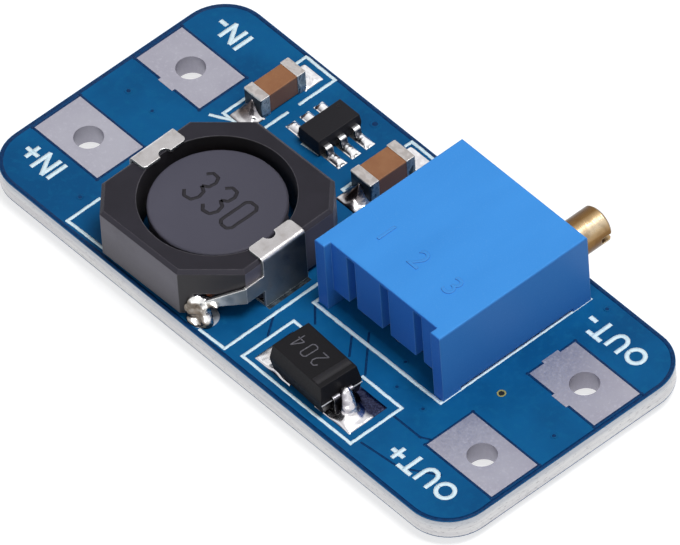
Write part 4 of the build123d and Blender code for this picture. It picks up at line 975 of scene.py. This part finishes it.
# solder mounds on the chip's lands, over and round each lead's foot
mound = {"long": 1.1, "film": 0.12, "tall": 0.3, "reach": 0.4, "step": 0.22, "power": 0.7, "corner": 0.24,
         "fromToe": 0.45, "first": 0.12, "base": 0.01, "chipX": -6.63}
for pin in range(1, 7):
    x0, y0, x1, y1 = flatBox(f"chip_lead_{pin}")
    side = 1 if x1 > mound["chipX"] + 1 else -1
    start, stop = (x1 - mound["long"], x1) if side > 0 else (x0, x0 + mound["long"])
    toe = x1 - mound["fromToe"] if side > 0 else x0 + mound["fromToe"]
    peaks = [(toe + side * (mound["first"] - step * mound["step"]), (y0 + y1) / 2,
              mound["tall"], mound["reach"], mound["power"]) for step in range(3)]
    solderPool(f"chip_solder_{pin}", (start, y0, stop, y1), mound["film"], peaks, [], 20 + pin, brightSolder,
               mound["base"], mound["corner"])
print("wire and solder made")

# cathode band, mould flash and number on the diode, in its own turned frame, and the chip's first-pin dimple
diodeMarks = {"middle": (5.66, -6.25), "turn": -3.0, "top": 3.272, "band": 1.42, "bandHalf": 1.1,
              "flashX": 2.13, "flashHalf": 1.31, "flashLevel": 2.13,
              "number": "204", "read": -1, "shift": -0.45, "tall": 0.95, "wide": 0.5, "pitch": 0.82}
bandRun = [turned(diodeMarks["band"], end * diodeMarks["bandHalf"], diodeMarks) for end in (-1, 1)]
drawStrokes("cathode_band", bentRuns([bandRun], diodeMarks["top"]),
            burntMark("laserMarkedBand", "#1B1A1D", "#252428"),
            width=0.5, height=0.008, ragged=0.02, step=0.1)
flash = [[turned(side * diodeMarks["flashX"], end * diodeMarks["flashHalf"], diodeMarks) for end in (-1, 1)]
         for side in (-1, 1)]
# a pale line along the parting line
drawStrokes("diode_flash_lines", bentRuns(flash, diodeMarks["flashLevel"]),
            burntMark("mouldFlashPale", "#9FA3AB", "#D8DADF"),
            width=0.05, height=0.035, ragged=0.01, step=0.1)
drawStrokes("diode_number", numberPaths(diodeMarks),
            burntMark("laserMarkedNumber", "#6C6B73", "#4A494F"),
            width=0.07, height=0.008, ragged=0.012, step=0.04)
drawHoles("chip_first_pin_dot", [(-7.09, 6.55, 0.11)], 2.321, 0.2, epoxyBlack, epoxyBlack)
print("diode and chip marks made")

# camera at the photograph's angle
shot = {"azimuth": 51.656, "elevation": 47.604, "roll": -4.213, "distance": 1118.85, "aim": (0.82, -0.4, 1.2),
        "lens": 1164.7}
turn, lift = radians(shot["azimuth"]), radians(shot["elevation"])
back = Vector((sin(turn) * cos(lift), -cos(turn) * cos(lift), sin(lift)))
right = Vector((0, 0, 1)).cross(back).normalized()
basis = Matrix((right, back.cross(right), back)).transposed() @ Matrix.Rotation(radians(shot["roll"]), 3, "Z")
cameraData = bpy.data.cameras.new("photoCamera")
cameraData.lens = shot["lens"]
cameraData.sensor_width = 36
cameraData.clip_start = 0.05
cameraData.clip_end = 10
camera = bpy.data.objects.new("photoCamera", cameraData)
stand = Vector(shot["aim"]) * mm + back * shot["distance"] * mm
camera.matrix_world = Matrix.Translation(stand) @ basis.to_4x4()
bpy.context.scene.collection.objects.link(camera)
bpy.context.scene.camera = camera

# soft studio light from above, with a weaker lamp on the ribbed side; sizes and distance in metres
lamps = {
    "keyLamp": {"toward": (0.26, 0.12, 0.95), "size": 0.22, "watts": 1.78},
    "fillLamp": {"toward": (0.25, -0.8, 0.55), "size": 0.3, "watts": 0.5},
}
lampDistance = 0.5
for name, look in lamps.items():
    lampData = bpy.data.lights.new(name, "AREA")
    lampData.shape = "DISK"
    lampData.size = look["size"]
    lampData.energy = look["watts"]
    lamp = bpy.data.objects.new(name, lampData)
    lamp.location = Vector(look["toward"]).normalized() * lampDistance
    lamp.rotation_euler = (-lamp.location).to_track_quat("-Z", "Y").to_euler()
    bpy.context.scene.collection.objects.link(lamp)


def pictureRays(tree):
    # 1 for rays that show the surroundings: seen directly, mirrored or through glass
    path = addNode(tree, "ShaderNodeLightPath")
    seen = maths(tree, "MAXIMUM", path.outputs["Is Camera Ray"], path.outputs["Is Glossy Ray"])
    return maths(tree, "MAXIMUM", seen, path.outputs["Is Transmission Ray"])


studio = {"fill": 0.18, "floor": "#DCDCDC", "floorShown": "#B8B8B8", "glow": 0.7,
          "half": 0.8, "level": -0.00062}
world = bpy.data.worlds.new("paleStudio")
bpy.context.scene.world = world
air = emptyTree(world)
dim = addNode(air, "ShaderNodeBackground", {"Color": "#FFFFFF", "Strength": studio["fill"]}).outputs[0]
shown = addNode(air, "ShaderNodeBackground", {"Color": "#FFFFFF", "Strength": 1.0}).outputs[0]
both = addNode(air, "ShaderNodeMixShader", {0: pictureRays(air), 1: dim, 2: shown}).outputs[0]
addNode(air, "ShaderNodeOutputWorld", {0: both})

floorMesh = bpy.data.meshes.new("studioFloor")
half, level = studio["half"], studio["level"]
corners = [(x * half, y * half, level) for x, y in ((-1, -1), (1, -1), (1, 1), (-1, 1))]
floorMesh.from_pydata(corners, [], [(0, 1, 2, 3)])
floorLook = bpy.data.materials.new("paleFloor")
ground = emptyTree(floorLook)
grey = addNode(ground, "ShaderNodeBsdfDiffuse", {"Color": studio["floor"]}).outputs[0]
white = addNode(ground, "ShaderNodeBsdfDiffuse", {"Color": studio["floorShown"]}).outputs[0]
glow = addNode(ground, "ShaderNodeEmission", {"Color": "#FFFFFF", "Strength": studio["glow"]}).outputs[0]
lifted = addNode(ground, "ShaderNodeAddShader", {0: white, 1: glow}).outputs[0]
mixed = addNode(ground, "ShaderNodeMixShader", {0: pictureRays(ground), 1: grey, 2: lifted}).outputs[0]
addNode(ground, "ShaderNodeOutputMaterial", {0: mixed})
floorMesh.materials.append(floorLook)
floor = bpy.data.objects.new("studio_floor", floorMesh)
bpy.context.scene.collection.objects.link(floor)
bpy.context.scene.view_settings.view_transform = "Standard"
print("camera, light and floor made")
